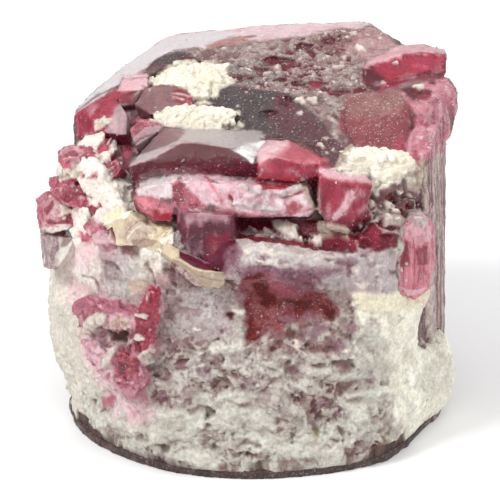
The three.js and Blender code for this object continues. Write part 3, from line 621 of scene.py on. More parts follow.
def stoneMaterial(name, look):
    # colour, hollows, specks, streaks and painted glints from the points' attributes and from noise in mm
    material = bpy.data.materials.new(name)
    material.use_nodes = True
    tree = material.node_tree
    shader = tree.nodes["Principled BSDF"]

    def node(kind, **settings):
        made = tree.nodes.new(kind)
        for key, value in settings.items():
            setattr(made, key, value)
        return made

    def feed(source, socket):
        if isinstance(source, (int, float)):
            socket.default_value = source
        else:
            tree.links.new(source, socket)

    def maths(operation, a, b):
        made = node("ShaderNodeMath", operation=operation)
        feed(a, made.inputs[0])
        feed(b, made.inputs[1])
        return made.outputs[0]

    plus, minus, times, most = (partial(maths, kind) for kind in ("ADD", "SUBTRACT", "MULTIPLY", "MAXIMUM"))

    def between(value, low, high, toLow=0.0, toHigh=1.0):
        made = node("ShaderNodeMapRange", interpolation_type="SMOOTHSTEP")
        sockets = ("Value", "From Min", "From Max", "To Min", "To Max")
        for key, source in zip(sockets, (value, low, high, toLow, toHigh)):
            feed(source, made.inputs[key])
        return made.outputs["Result"]

    def mixed(share, a, b):
        made = node("ShaderNodeMix", data_type="RGBA")
        feed(share, made.inputs["Factor"])
        tree.links.new(a, made.inputs["A"])
        tree.links.new(b, made.inputs["B"])
        return made.outputs["Result"]

    scale = {"even": (1000, 1000, 1000), "upright": (1000, 1000, 120)}  # millimetres, and drawn out upwards
    coordinates = node("ShaderNodeTexCoord")
    for along, factors in scale.items():
        scale[along] = node("ShaderNodeMapping")
        scale[along].inputs["Scale"].default_value = factors
        tree.links.new(coordinates.outputs["Object"], scale[along].inputs["Vector"])

    def noise(size, detail, roughness=0.6, distortion=0.0, along="even"):
        made = node("ShaderNodeTexNoise")
        sockets = ("Scale", "Detail", "Roughness", "Distortion")
        for key, setting in zip(sockets, (1 / size, detail, roughness, distortion)):
            made.inputs[key].default_value = setting
        tree.links.new(scale[along].outputs["Vector"], made.inputs["Vector"])
        return made.outputs["Fac"]

    tint = node("ShaderNodeVertexColor", layer_name="tint")
    under = node("ShaderNodeVertexColor", layer_name="under")
    nature = node("ShaderNodeVertexColor", layer_name="nature")
    split = node("ShaderNodeSeparateColor")
    tree.links.new(nature.outputs["Color"], split.inputs["Color"])

    # coarse blotches gather in the hollows, fine specks lie anywhere
    pull = times(minus(under.outputs["Alpha"], 0.5), look["hollowPull"])
    blotch = minus(noise(look["blotchSize"], detail=7, roughness=0.72, distortion=0.5), pull)
    cloud = noise(look["cloudSize"], detail=9, roughness=0.7, distortion=0.4)
    cloud = between(cloud, 0.42, 0.62)
    coarse = most(between(blotch, look["blotchStart"], look["blotchFull"]), times(cloud, look["cloud"]))
    coarse = times(coarse, tint.outputs["Alpha"])
    fine = between(noise(look["fineSize"], detail=4, roughness=0.7), 0.48, 0.56)
    fine = times(times(fine, nature.outputs["Alpha"]), plus(times(cloud, 0.65), 0.35))
    specked = most(coarse, fine)
    colour = mixed(specked, tint.outputs["Color"], under.outputs["Color"])
    clear, sparkle = split.outputs["Green"], split.outputs["Blue"]
    grain = between(noise(look["grainSize"], detail=3), 0.25, 0.75, -look["grain"], look["grain"] * 0.6)
    grain = plus(1.0, times(grain, minus(1.0, times(clear, 0.85))))
    # growth streaks run up the crystal where it is clear
    streak = between(noise(look["streakSize"], detail=4, along="upright"), 0.3, 0.7, -0.5, 0.5)
    grain = plus(grain, times(times(streak, clear), look["streak"]))
    shade = node("ShaderNodeVectorMath", operation="SCALE")
    tree.links.new(colour, shade.inputs[0])
    tree.links.new(grain, shade.inputs["Scale"])
    # painted glints: white specks mixed into the base colour, standing in for light caught by tiny facets
    glint = noise(look["glintSize"], detail=2, roughness=0.7)
    glint = times(between(glint, 1 - look["specks"], 1.06 - look["specks"]), sparkle)
    white = node("ShaderNodeRGB")
    white.outputs[0].default_value = (*linear(look["glintColour"]), 1)
    tree.links.new(mixed(glint, shade.outputs["Vector"], white.outputs[0]), shader.inputs["Base Color"])
    tree.links.new(split.outputs["Red"], shader.inputs["Roughness"])
    tree.links.new(clear, shader.inputs["Subsurface Weight"])
    bump = node("ShaderNodeBump")
    broken = times(noise(look["bumpSize"], detail=6, roughness=0.75), plus(sparkle, 0.25))
    tree.links.new(minus(plus(broken, glint), times(specked, 0.5)), bump.inputs["Height"])
    tree.links.new(bump.outputs["Normal"], shader.inputs["Normal"])
    for socket, setting in (
        (shader.inputs["Subsurface Radius"], look["scatter"]),
        (shader.inputs["Subsurface Scale"], look["scatterDepth"] * mm),
        (shader.inputs["IOR"], look["ior"]),
        (shader.inputs["Specular IOR Level"], look["reflection"]),
        (shader.inputs["Transmission Weight"], look["clear"]),
        (bump.inputs["Strength"], look["bump"]),
        (bump.inputs["Distance"], look["bumpDepth"] * mm),
    ):
        socket.default_value = setting
    return material


# the hollow under the ledge and its broken chips, on whichever piece shows there; painted light lightens its
# shade with a brighter crimson
hollowZones = [
    ("shadeWine", 1.5, [230, 220, 272, 220, 352, 218, 358, 250, 330, 252, 300, 250, 270, 242, 232, 240]),
    ("shadeWine", 2, [350, 224, 365, 212, 380, 214, 392, 226, 398, 246, 378, 252, 356, 244]),
    ("mixedChips", 1.5, [374, 186, 392, 188, 420, 190, 432, 200, 432, 214, 412, 218, 404, 232, 384, 234,
        372, 222, 368, 206]),
    ("darkWine", 1.5, [376, 188, 392, 188, 416, 191, 426, 204, 420, 216, 404, 214, 382, 214,
        372, 202], 0.85),
    ("crimson", 3, [232, 220, 270, 220, 270, 238, 236, 237], 0.6),
    ("chipWhite", 0.8, [272, 222, 284, 221, 298, 227, 308, 235, 311, 243, 299, 242, 284, 236,
        274, 229], 1, -0.5),
    ("chipBeige", 0.8, [316, 224, 330, 222, 346, 226, 353, 233, 349, 241, 334, 239, 322, 241,
        318, 232], 1, -0.5),
    ("chipWhite", 0.8, [383, 203, 389, 197, 393, 207, 400, 213, 384, 211], 1, -0.3),
    *blobs("pitWine", 1, 1, 0.3, (391, 200, 7, 4, 50), (414, 206, 7, 4, 10), (379, 222, 8, 4, 60),
        (393, 228, 8, 3, -10), (401, 212, 5, 3, 30), (386, 236, 6, 3), (304, 236, 5, 9, -20),
        (330, 247, 12, 3), (365, 244, 6, 5)),
    *blobs("chipWhite", 0.8, 1, -0.4, (317, 243, 5, 4), (376, 192, 4, 6, 10), (424, 200, 2, 8, 5),
        (372, 205, 3, 4), (398, 192, 3, 2), (408, 196, 3, 2, 40), (404, 222, 3, 1.5, 30), (396, 218, 2, 2),
        (340, 236, 4, 2), (388, 217, 3, 1.2, 20), (360, 226, 2, 2)),
    *blobs("wine", 1, 1, 0, (368, 228, 5, 9, 20), (384, 243, 5, 5), (398, 238, 6, 5), (356, 234, 4, 6),
        (410, 226, 5, 3), (345, 246, 6, 3)),
    *strokes("darkWine", 1.5, 0.75, 0.05, 4, [234, 238, 268, 240, 300, 247, 330, 250, 350, 250],
        [372, 250, 386, 248, 398, 246]),
]

# the main crystal
rubelliteLook = {
    "blotchSize": 0.8, "blotchStart": 0.47, "blotchFull": 0.6, "hollowPull": 0.35,
    "cloudSize": 1.6, "cloud": 0.4, "fineSize": 0.32, "grainSize": 0.35, "grain": 0.22,
    "streakSize": 0.4, "streak": 0.42, "glintSize": 0.2, "specks": 0.39, "glintColour": (246, 238, 238),
    "scatter": (1.0, 0.12, 0.2), "scatterDepth": 1.2, "ior": 1.62, "reflection": 0.25, "clear": 0.2,
    "bump": 0.9, "bumpDepth": 0.12, "bumpSize": 0.4,
}
rubelliteZones = [
    ("rosyBlur", 3, [150, 48, 165, 36, 230, 24, 300, 16, 358, 15, 378, 26, 300, 37, 262, 41, 215, 42,
        165, 47]),
    # painted sheen on the left top bevel
    ("paleBevel", 2, [72, 114, 96, 86, 122, 58, 150, 40, 168, 36, 215, 32, 262, 34, 250, 40, 215, 46,
        178, 50, 160, 58, 147, 67, 135, 76, 122, 78, 118, 86, 100, 98, 80, 110]),
    ("terrace", 1.5, [172, 50, 205, 47, 262, 41, 300, 37, 245, 60, 232, 63, 215, 64, 200, 60, 190, 54,
        182, 51]),
    ("redLens", 1, [205, 45, 215, 42, 225, 38, 240, 36, 248, 37, 246, 41, 236, 43, 222, 45, 210, 47]),
    ("crimson", 0.8, [243, 37, 250, 35, 257, 35, 254, 38, 246, 39]),
    # painted shade: a dark band under the back terrace's overhanging front edge, over the crystal's own
    # red-brown
    ("darkFilm", 1, [150, 66, 158, 58, 172, 51, 183, 50, 190, 54, 200, 60, 190, 60, 183, 58, 175, 63,
        165, 66, 155, 65]),
    ("darkWine", 1, [158, 67, 175, 63, 183, 58, 192, 57, 200, 62, 214, 63, 208, 68, 198, 67, 190, 61,
        182, 61, 172, 67]),
    ("plateau", 1.5, [232, 62, 245, 50, 262, 41, 300, 37, 350, 27, 368, 26, 376, 30, 372, 60, 365, 68,
        362, 76, 370, 86, 372, 92, 345, 98, 330, 97, 296, 98, 275, 92, 250, 88, 235, 84, 222, 90, 212, 96,
        197, 101, 215, 84, 225, 72]),
    ("paleTerrace", 2, [232, 62, 245, 50, 262, 41, 300, 37, 330, 33, 320, 40, 300, 44, 285, 52, 262, 55,
        245, 60]),
    ("brownTerrace", 3, [310, 40, 335, 30, 366, 26, 374, 34, 372, 56, 356, 52, 345, 58, 330, 56, 318, 52,
        312, 46]),
    ("greyTerrace", 2, [232, 62, 262, 58, 272, 68, 276, 78, 262, 84, 250, 87, 240, 84, 225, 87, 212, 95,
        200, 100, 215, 84, 225, 72]),
    ("rosyPlateau", 2, [350, 40, 360, 30, 372, 25, 384, 30, 400, 47, 378, 57, 372, 62, 356, 56, 345, 50]),
    ("darkFilm", 1, [232, 84, 240, 87, 250, 88, 262, 90, 275, 91, 290, 94, 298, 100, 310, 110, 330, 132,
        350, 150, 331, 166, 322, 155, 310, 145, 300, 139, 272, 137, 262, 131, 232, 129, 232, 114, 222, 113,
        205, 104, 198, 108, 192, 107, 197, 101, 212, 95, 222, 88]),
    ("brownFilm", 4, [275, 96, 296, 98, 310, 110, 330, 132, 350, 150, 331, 166, 310, 145, 300, 139,
        280, 136, 268, 120]),
    ("granular", 4, [345, 99, 372, 92, 400, 86, 412, 100, 420, 125, 405, 165, 370, 157, 352, 141,
        338, 128]),
    ("terrace", 1.5, [296, 96, 345, 97, 348, 101, 340, 112, 338, 125, 345, 142, 352, 148, 345, 150,
        335, 138, 322, 122, 310, 110, 300, 102]),
    ("brownGranular", 4, [348, 96, 372, 91, 400, 88, 408, 100, 400, 112, 370, 118, 350, 116], 0.8),
    ("stripedSide", 2, [404, 162, 420, 160, 442, 146, 450, 160, 452, 350, 430, 350, 424, 300, 432, 240,
        424, 215, 420, 190, 418, 175]),
    ("lobeSkin", 2, [400, 95, 430, 78, 452, 76, 461, 88, 459, 115, 450, 140, 442, 153, 420, 168, 404, 162,
        415, 122, 410, 100]),
    ("wine", 1.5, [402, 89, 415, 85, 432, 90, 431, 98, 412, 101]),
    ("greyEdge", 1, [370, 92, 385, 84, 410, 78, 430, 73, 447, 76, 430, 80, 415, 84, 402, 88, 375, 95]),
    # painted sheen: crystal E's top facet, paler where it mirrors the sky
    ("palePink", 0.8, [362, 68, 372, 60, 398, 46, 408, 42, 435, 44, 448, 52, 440, 54, 418, 52, 405, 54,
        385, 62]),
    ("raspberry", 0.8, [362, 68, 385, 62, 405, 54, 418, 52, 446, 54, 446, 74, 430, 73, 410, 80, 380, 92,
        368, 86, 362, 76]),
    ("pinkSkin", 1.5, [364, 67, 372, 60, 398, 46, 408, 42, 435, 44, 446, 51, 418, 51, 405, 53,
        385, 61], 0.55),
    ("gemDeep", 3, [372, 84, 400, 72, 446, 66, 446, 76, 410, 83, 380, 93], 0.7),
    ("crimson", 0.8, [385, 77, 400, 72, 418, 69, 418, 74, 400, 80, 388, 81]),
    ("wine", 2, [362, 68, 372, 65, 382, 78, 378, 90, 368, 86, 362, 76]),
    ("raspberry", 0.8, [74, 112, 100, 98, 119, 87, 121, 96, 113, 130, 108, 137, 78, 140]),
    # painted sheen: the cube's top facet, paler where it mirrors the sky
    ("palePink", 0.8, [118, 91, 123, 74, 148, 74, 152, 84, 138, 91]),
    ("crimson", 0.8, [118, 91, 137, 90, 133, 104, 118, 104], 0.8),
    # painted sheen on a facet that faces the sky
    ("satinRose", 0.8, [106, 136, 117, 102, 130, 104, 132, 134]),
    ("brownFacet", 0.8, [131, 105, 145, 87, 185, 82, 194, 100, 178, 112, 140, 119]),
    ("deepRose", 0.8, [130, 118, 160, 116, 162, 128, 150, 134, 130, 137]),
    # painted sheen: the ledge's top, pale where it mirrors the sky
    ("satinGrey", 0.7, [128, 167, 133, 158, 150, 152, 165, 146, 180, 134, 170, 126, 185, 127, 262, 132,
        269, 141, 250, 147, 232, 149, 200, 143, 185, 142, 165, 151, 145, 161]),
    # painted sheen on the ledge's left facet
    ("satinRose", 0.7, [130, 140, 145, 128, 165, 125, 150, 140, 140, 151, 132, 153]),
    ("brownFacet", 0.7, [148, 149, 160, 133, 175, 126, 187, 130, 178, 140, 162, 148]),
    # painted highlight on the facet that mirrors the light
    ("flash", 0.7, [231, 149, 268, 140, 256, 156, 252, 164, 243, 156]),
    ("brownFacet", 0.8, [148, 163, 165, 151, 185, 142, 200, 143, 230, 149, 242, 157, 220, 156, 205, 159,
        190, 156, 172, 162]),
    # the wine band under the ledge's top: the crystal's own deep red, darkened by painted shade of the undercut
    ("wine", 0.8, [127, 167, 150, 161, 172, 160, 190, 156, 205, 159, 220, 156, 240, 158, 252, 164, 254, 176,
        240, 180, 205, 173, 185, 167, 160, 172, 136, 178, 134, 194, 128, 188]),
    ("mauve", 0.8, [126, 168, 137, 166, 136, 194, 129, 190]),
    ("streaky", 1.5, [135, 180, 165, 171, 185, 166, 205, 172, 235, 180, 254, 178, 262, 190, 300, 188,
        310, 180, 319, 190, 319, 225, 300, 220, 270, 216, 240, 213, 215, 206, 172, 198, 138, 196]),
    ("whiteSkin", 0.8, [138, 182, 170, 172, 173, 186, 172, 198, 140, 195]),
    ("deepRose", 0.8, [172, 184, 180, 179, 192, 192, 208, 207, 190, 210, 172, 207]),
    ("crimson", 0.7, [228, 193, 234, 197, 233, 203, 229, 200]),
    ("rose", 0.7, [133, 196, 150, 195, 173, 205, 173, 214, 145, 209]),
    ("deepRose", 1.2, [146, 196, 160, 199, 173, 206, 173, 213, 156, 209], 0.7),
    ("crimson", 0.7, [132, 198, 145, 209, 173, 213, 173, 221, 155, 220, 140, 212]),
    # painted sheen: crystal B's top facet, paler where it mirrors the background
    ("palePink", 0.7, [256, 153, 267, 139, 289, 140, 275, 157, 258, 163]),
    ("salmon", 0.7, [289, 140, 312, 152, 330, 160, 325, 164, 300, 163, 275, 157]),
    ("raspberry", 0.8, [253, 165, 260, 162, 275, 157, 300, 163, 330, 164, 328, 170, 315, 176, 300, 178,
        257, 178]),
    # painted shade: the dark red band under crystal B, its prism seen in shadow
    ("crimson", 0.8, [252, 166, 257, 177, 300, 177, 303, 183, 290, 190, 265, 189, 252, 181]),
    # painted sheen: crystal C's top facet, paler where it mirrors the sky
    ("palePink", 0.7, [317, 171, 330, 167, 366, 177, 374, 184, 330, 179]),
    ("raspberry", 0.8, [307, 176, 319, 173, 330, 178, 374, 183, 373, 197, 367, 216, 350, 226, 340, 231,
        328, 221, 318, 205]),
    ("gemDeep", 4, [320, 180, 334, 181, 338, 200, 330, 214, 320, 204], 0.6),
    ("gemDeep", 3, [358, 200, 372, 190, 366, 215, 350, 224], 0.6),
    ("rosyWash", 1.5, [348, 189, 356, 187, 353, 200, 343, 216, 331, 222, 340, 205], 0.85),
    ("purple", 1.2, [176, 213, 236, 214, 240, 250, 236, 274, 210, 271, 178, 260]),
    ("roseFrost", 2, [176, 208, 236, 212, 240, 222, 215, 224, 178, 222], 0.8),
    ("chipBeige", 0.8, [338, 160, 345, 148, 352, 143, 358, 150, 362, 157, 350, 163, 342, 168,
        334, 168], 1, -0.2),
    ("cream", 1, [333, 170, 345, 165, 358, 158, 368, 157, 368, 177, 350, 176, 335, 172], 1, -0.2),
    ("archFacet", 0.8, [148, 163, 165, 151, 185, 142, 200, 143, 230, 149, 242, 157, 220, 156, 205, 159,
        190, 156, 172, 162]),
    ("rosyWash", 2, [212, 172, 240, 180, 256, 179, 262, 190, 240, 197, 222, 188]),
    ("rosyWash", 2, [180, 176, 205, 174, 222, 190, 232, 206, 214, 206, 196, 194], 0.8),
    ("salmon", 1.5, [284, 204, 296, 201, 304, 206, 298, 213, 286, 212]),
    ("chipBeige", 1.5, [298, 184, 304, 178, 311, 190, 320, 200, 322, 226, 312, 220, 306, 200], 0.8),
    ("etchedRose", 1.5, [88, 134, 118, 134, 130, 138, 134, 150, 127, 166, 126, 190, 134, 214, 120, 224,
        100, 204, 92, 165]),
    ("chipBeige", 1.5, [404, 162, 424, 158, 431, 176, 424, 192, 407, 190]),
    *blobs("cream", 1.2, 0.9, -0.1, (110, 142, 6, 4), (115, 150, 5, 7), (102, 152, 6, 3, 20),
        (119, 172, 4, 5), (122, 198, 4, 8), (113, 186, 4, 4), (414, 167, 5, 3.4), (423, 178, 3, 5),
        (411, 181, 4, 4)),
    # pale veils and deeper patches inside the clear faces
    *blobs("rosyWash", 2.5, 0.42, 0, (266, 169, 5, 2.4, -10), (290, 172, 7, 2, 8), (318, 170, 5, 2),
        (382, 84, 6, 2.4, -15), (408, 76, 8, 2, -8), (436, 71, 5, 2), (316, 190, 3, 6),
        (328, 210, 3, 7, 10), (360, 194, 4, 5, 15), (364, 212, 3, 5, 20), (150, 212, 6, 2, 10),
        (196, 168, 9, 1.6, -5), (92, 108, 5, 7, 30), (272, 184, 8, 2, 4)),
    *blobs("wine", 2, 0.4, 0, (278, 175, 6, 2, 5), (304, 176, 5, 1.6), (394, 84, 7, 2, -10),
        (424, 79, 7, 1.6), (322, 200, 4, 5), (340, 224, 6, 4), (352, 206, 3, 7, 15), (98, 96, 4, 5, 30)),
    *hollowZones,
    *blobs("pitWine", 1, 1, 0.15, (278, 60, 17, 4.5, 4), (303, 46, 11, 3.6, -6), (329, 40, 6, 3.6, 10),
        (261, 69.5, 11, 1.7, 5), (241, 66, 6, 1.4), (281, 80, 6, 2), (298, 84, 9, 3, 12), (318, 84, 9, 2.4),
        (338, 92, 8, 3.4, -10), (359, 89, 6, 2.6), (347, 90, 4, 2.2), (247, 88, 5, 1.8, 20),
        (266, 113, 9, 1.8, -5), (283, 98, 7, 3.2, 20), (289, 104, 4, 3), (286, 121, 3, 2.4),
        (412, 92, 10, 3.6, 10), (433, 82, 5, 2.4), (326, 90, 5, 2)),
    *blobs("pitWine", 1, 0.85, 0.2, (248, 75, 6, 1.1, -5), (262, 82, 7, 1.2, -8), (240, 81, 5, 1.1),
        (256, 52, 4, 1.1), (236, 56, 4, 1), (272, 47, 4, 1, -5), (345, 75, 4, 1.3), (330, 62, 3, 1.1),
        (316, 58, 3, 1.1), (350, 63, 3, 1.1), (306, 70, 4, 1.2), (322, 76, 4, 1.1), (290, 70, 3, 1.1),
        (336, 48, 3, 1.1), (352, 40, 3, 1.2), (360, 62, 3, 1.4), (212, 54, 6, 1.2, -10), (196, 50, 5, 1),
        (180, 56, 4, 1), (222, 58, 5, 1.2, -12), (318, 112, 3, 1.2, 40), (330, 106, 4, 1, 20),
        (336, 116, 3, 1.4, 50)),
    *blobs("chipWhite", 0.8, 1, -0.25, (360, 49, 6, 2.4, 25), (301, 101, 6, 3, 10), (313, 100, 6, 3.2, 15),
        (337, 67, 5, 1.6), (268, 73, 5, 1.2, -10), (419, 87, 6, 2.2), (383, 83, 3, 1.6), (383, 156, 9, 1.1),
        (371, 154, 3, 1, 20), (321, 146, 4, 2.4, 30), (395, 64, 3, 1.6)),
    *blobs("chipWhite", 0.8, 0.9, -0.05, (316, 66, 2, 0.9), (326, 70, 2, 1), (343, 70, 2, 0.9),
        (352, 78, 2, 1), (300, 60, 2, 0.9), (312, 76, 2.4, 1), (288, 74, 2, 0.9), (334, 82, 2, 0.9),
        (320, 92, 3, 1.3), (350, 84, 2, 0.9), (306, 56, 2, 0.8), (344, 58, 2, 1), (328, 58, 2, 0.8),
        (372, 44, 1.8, 1.3), (380, 38, 1.5, 1.4), (368, 34, 1.5, 1), (250, 122, 1.8, 1.4),
        (238, 106, 1.4, 1), (262, 100, 1.3, 1), (246, 92, 2, 1), (300, 113, 3, 2), (326, 138, 2, 1.4),
        (333, 150, 1.4, 1.8), (327, 153, 1.2, 1.4), (344, 108, 1.6, 1), (196, 215, 2, 1.6),
        (223, 221, 4, 1.6), (204, 223, 2, 1.4)),
    *blobs("crimson", 1, 0.9, 0.1, (425, 97, 5, 3.4), (388, 160, 10, 2.4, 12), (398, 166, 4, 3, 30)),
    *blobs("raspberry", 1.5, 0.8, 0, (417, 157, 3, 7, -10), (424, 123, 6, 3), (400, 148, 4, 8),
        (318, 86, 6, 2)),
    # purple patches; the three on the wine band under the ledge are painted glints
    *blobs("purple", 1, 0.8, 0, (409, 95, 3.4, 4), (148, 164, 8, 3, -10), (200, 165, 7, 3),
        (228, 166, 6, 4, 10), (370, 76, 5, 6)),
    *strokes("wineLine", 1.2, 0.9, 0.1, 3, [345, 108, 344, 120, 347, 132, 352, 141, 358, 150]),
    *strokes("darkWine", 0.8, 0.9, 0.1, 1.6, [137, 74, 150, 66, 160, 58, 170, 51],
        [128, 150, 140, 139, 156, 133], [72, 114, 96, 96, 118, 86, 123, 78]),
    *strokes("wine", 1, 0.9, 0.2, 3.4, [149, 77, 160, 79, 176, 82], [300, 139, 312, 146, 322, 157],
        [262, 138, 285, 138, 300, 141]),
    *strokes("wineLine", 1, 0.55, 0.06, 1.5, [437, 100, 434, 115, 438, 130, 432, 142],
        [446, 95, 444, 112, 447, 125, 441, 140], [428, 108, 424, 122, 428, 135, 422, 150],
        [416, 130, 413, 142, 417, 155], [408, 128, 407, 145, 404, 158],
        [453, 88, 453, 105, 450, 120, 445, 134], [420, 104, 430, 103, 440, 99]),
    *strokes("pinkSkin", 1, 0.8, -0.08, 2.4, [432, 100, 429, 115, 433, 130],
        [442, 98, 440, 115, 443, 128, 436, 142], [450, 92, 448, 112, 450, 122],
        [424, 104, 418, 116, 422, 130], [411, 132, 410, 146], [420, 138, 419, 150]),
    *strokes("greyEdge", 1, 0.9, -0.05, 2.6, [446, 77, 456, 86, 458, 100, 456, 115, 451, 130]),
    *strokes("wineLine", 0.8, 0.7, 0.12, 1.3, [430, 160, 428, 185, 432, 210, 434, 240],
        [437, 155, 437, 190, 440, 230, 442, 270], [443, 150, 444, 200, 446, 260, 447, 300],
        [424, 165, 423, 185, 427, 205]),
    *strokes("darkWine", 0.8, 0.7, 0.1, 1.2, [434, 168, 436, 210, 437, 262, 439, 344],
        [440, 150, 442, 200, 443, 268, 444, 344], [446, 146, 448, 200, 448, 262, 449, 340],
        [428, 172, 430, 196, 434, 224]),
    *strokes("greyEdge", 0.8, 0.8, -0.08, 1.4, [437, 165, 439, 210, 440, 262, 441, 344],
        [443, 148, 445, 200, 446, 268, 446, 340], [431, 172, 433, 200, 436, 230]),
    # painted highlights along the crystals' edges
    *strokes("edgeLight", 0.7, 0.7, 0, 1.1, [258, 163, 275, 157, 300, 163, 328, 163],
        [289, 140, 282, 149, 275, 157], [318, 176, 345, 181, 373, 184], [320, 178, 319, 190, 319, 204],
        [362, 68, 385, 61, 405, 54, 446, 55], [128, 167, 150, 159, 180, 143, 200, 142, 232, 148],
        [118, 91, 130, 90, 138, 90], [120, 100, 116, 116, 112, 132], [125, 108, 123, 120, 120, 132],
        [188, 215, 187, 240, 190, 262], [200, 216, 201, 245, 203, 262], [214, 222, 215, 250]),
    *strokes("crimson", 1, 0.9, 0.05, 2, [278, 200, 292, 196, 307, 189], [232, 194, 231, 200]),
    *strokes("rose", 1.2, 0.8, 0, 4, [205, 174, 214, 188, 222, 200, 232, 213], [248, 203, 254, 211],
        [268, 216, 296, 213, 316, 207]),
    *strokes("deepRose", 1.5, 0.8, 0.1, 5, [215, 208, 240, 215, 270, 219, 300, 222, 316, 228]),
    *strokes("frostWhite", 1.5, 0.9, -0.2, 6, [238, 184, 256, 192, 276, 196, 300, 186],
        [140, 176, 165, 172, 182, 170], [236, 204, 262, 206, 278, 210]),
    ("raspberry", 0.8, [170, 92, 178, 89, 190, 93, 196, 99, 190, 105, 180, 104, 172, 99]),
    ("cream", 1.2, [94, 122, 104, 117, 112, 119, 106, 126, 96, 130]),
    *strokes("chipWhite", 0.8, 1, -0.05, 1.5, [173, 93, 182, 94, 191, 97], [174, 97, 182, 99, 189, 101],
        [140, 88, 134, 96], [146, 84, 150, 92]),
]
# laid last, over the stray grains
columnZones = [
    ("purple", 1, [180, 212, 238, 213, 240, 250, 237, 275, 210, 275, 181, 262]),
    ("purpleFrost", 3, [181, 240, 194, 238, 200, 252, 196, 264, 182, 260], 0.7),
    ("gemDeep", 2.5, [208, 236, 228, 234, 232, 262, 212, 268], 0.8),
    ("rosyWash", 2.5, [184, 214, 206, 212, 230, 216, 228, 224, 206, 222, 186, 224], 0.5),
    ("darkFilm", 1, [238, 96, 264, 98, 268, 124, 250, 128, 240, 122, 242, 112]),
    *strokes("mauve", 1, 0.8, 0, 2, [180, 214, 180, 240, 182, 262]),
    # painted highlights along the column's edges
    *strokes("edgeLight", 1, 0.45, 0, 1.2, [188, 218, 187, 240, 190, 262], [200, 218, 201, 245, 203, 264],
        [214, 222, 215, 250]),
]


def finishPiece(piece, cage, moved, paint, seen, hidden, triangles, material, slot, *nodeNames):
    moveTo(piece, moved)
    thin(piece, triangles, paint, seen, hidden)
    carryPaint(piece, moved, paint)
    bpy.data.objects.remove(cage)
    piece.data.materials.append(material)
    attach(piece, "root")
    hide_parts(*nodeNames)
    report("%s done, %d faces" % (piece.name, len(piece.data.polygons)))


def beside(where, tree, start, full):
    # 0 where the tree is further off than start, 1 where it is nearer than full
    return ease(start, full, nearest(where, tree, start)[1])


def sprinkle(where, paint, tree, finishName, reach, out=0.0):
    # the neighbour's grains stray over the edge, thinning out with distance; returns how far they stand out
    gap = nearest(where, tree, reach)[1] / reach
    share = ease(0.75, 0.45, gap + 0.55 * rough(where, 0.8, 91)) * (gap < 1)
    some = np.nonzero(share > 0)[0]
    lay(paint, some, share[some], coat(finishName, where[some]))
    return out * share


def strew(name, where, facing, paint, chosen, material, look):
    # grains grown on a surface: one block, copied, each copy chipped, turned and coloured after where it lies
    deselectAll()
    bpy.ops.mesh.primitive_cube_add(size=look["block"])
    block = bpy.context.object
    corners = places(block) * mm
    faces = np.array([p.vertices[:] for p in block.data.polygons])
    bpy.data.objects.remove(block)
    dice = np.random.default_rng(look["seed"])
    count, flat = len(chosen), look["flat"]
    turn = dice.normal(size=(count, 3, 3))
    turn[:, 2] = facing[chosen] + flat * 0.45 * turn[:, 2] + (1 - flat) * turn[:, 2]
    turn[:, 2] /= np.linalg.norm(turn[:, 2], axis=1)[:, None]
    turn[:, 0] -= (turn[:, 0] * turn[:, 2]).sum(axis=1)[:, None] * turn[:, 2]
    turn[:, 0] /= np.linalg.norm(turn[:, 0], axis=1)[:, None]
    turn[:, 1] = np.cross(turn[:, 2], turn[:, 0])
    smallest, largest = look["sizes"]
    size = smallest + (largest - smallest) * dice.random(count) ** 2.5
    wide = size * (0.55 + 0.35 * dice.random(count))
    tall = size * (1 - flat * (0.6 + 0.2 * dice.random(count)))
    spread = np.stack([size, wide, tall], axis=1)
    chipped = corners[None] * (0.45 + 0.75 * dice.random((count, len(corners), 1))) * spread[:, None]
    stand = 0.25 * (spread[:, 2:] * turn[:, 2])[:, None]
    body = np.einsum("nkj,nji->nki", chipped, turn) + where[chosen][:, None] + stand
    whole = (faces[None] + len(corners) * np.arange(count)[:, None, None]).reshape(-1, 4)
    mesh = bpy.data.meshes.new(name)
    mesh.from_pydata((body.reshape(-1, 3) * mm).tolist(), [], whole.tolist())
    piece = bpy.data.objects.new(name, mesh)
    bpy.context.scene.collection.objects.link(piece)
    lot = paint[chosen].copy()
    least, largestShare = look["paleShares"]
    share = least + (largestShare - least) * dice.random(count)
    lot[:, colour] += (linear(look["pale"]) - lot[:, colour]) * share[:, None]
    lot[:, colour] *= (0.88 + 0.2 * dice.random(count))[:, None]
    lot[:, coarse] *= 0.3
    lot[:, fine] *= 0.4
    giveColours(mesh, np.repeat(lot, len(corners), axis=0))
    mesh.materials.append(material)
    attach(piece, "root")
    report("%s done, %d grains" % (name, count))


def pickPoints(weights, count, seed):
    dice = np.random.default_rng(seed)
    return dice.choice(len(weights), size=count, replace=False, p=weights / weights.sum())


pocketNodes = ("albite_pocket_rear", "albite_pocket_front", "albite_pocket_right")
leftNodes = tuple("left_crystal_" + place for place in ("top", "inner", "middle", "lower", "foot", "small"))
pinkNodes = ("side_crystal_right", "lower_left_crystal") + leftNodes
micaNodes = ("mica_flake", "mica_scales")

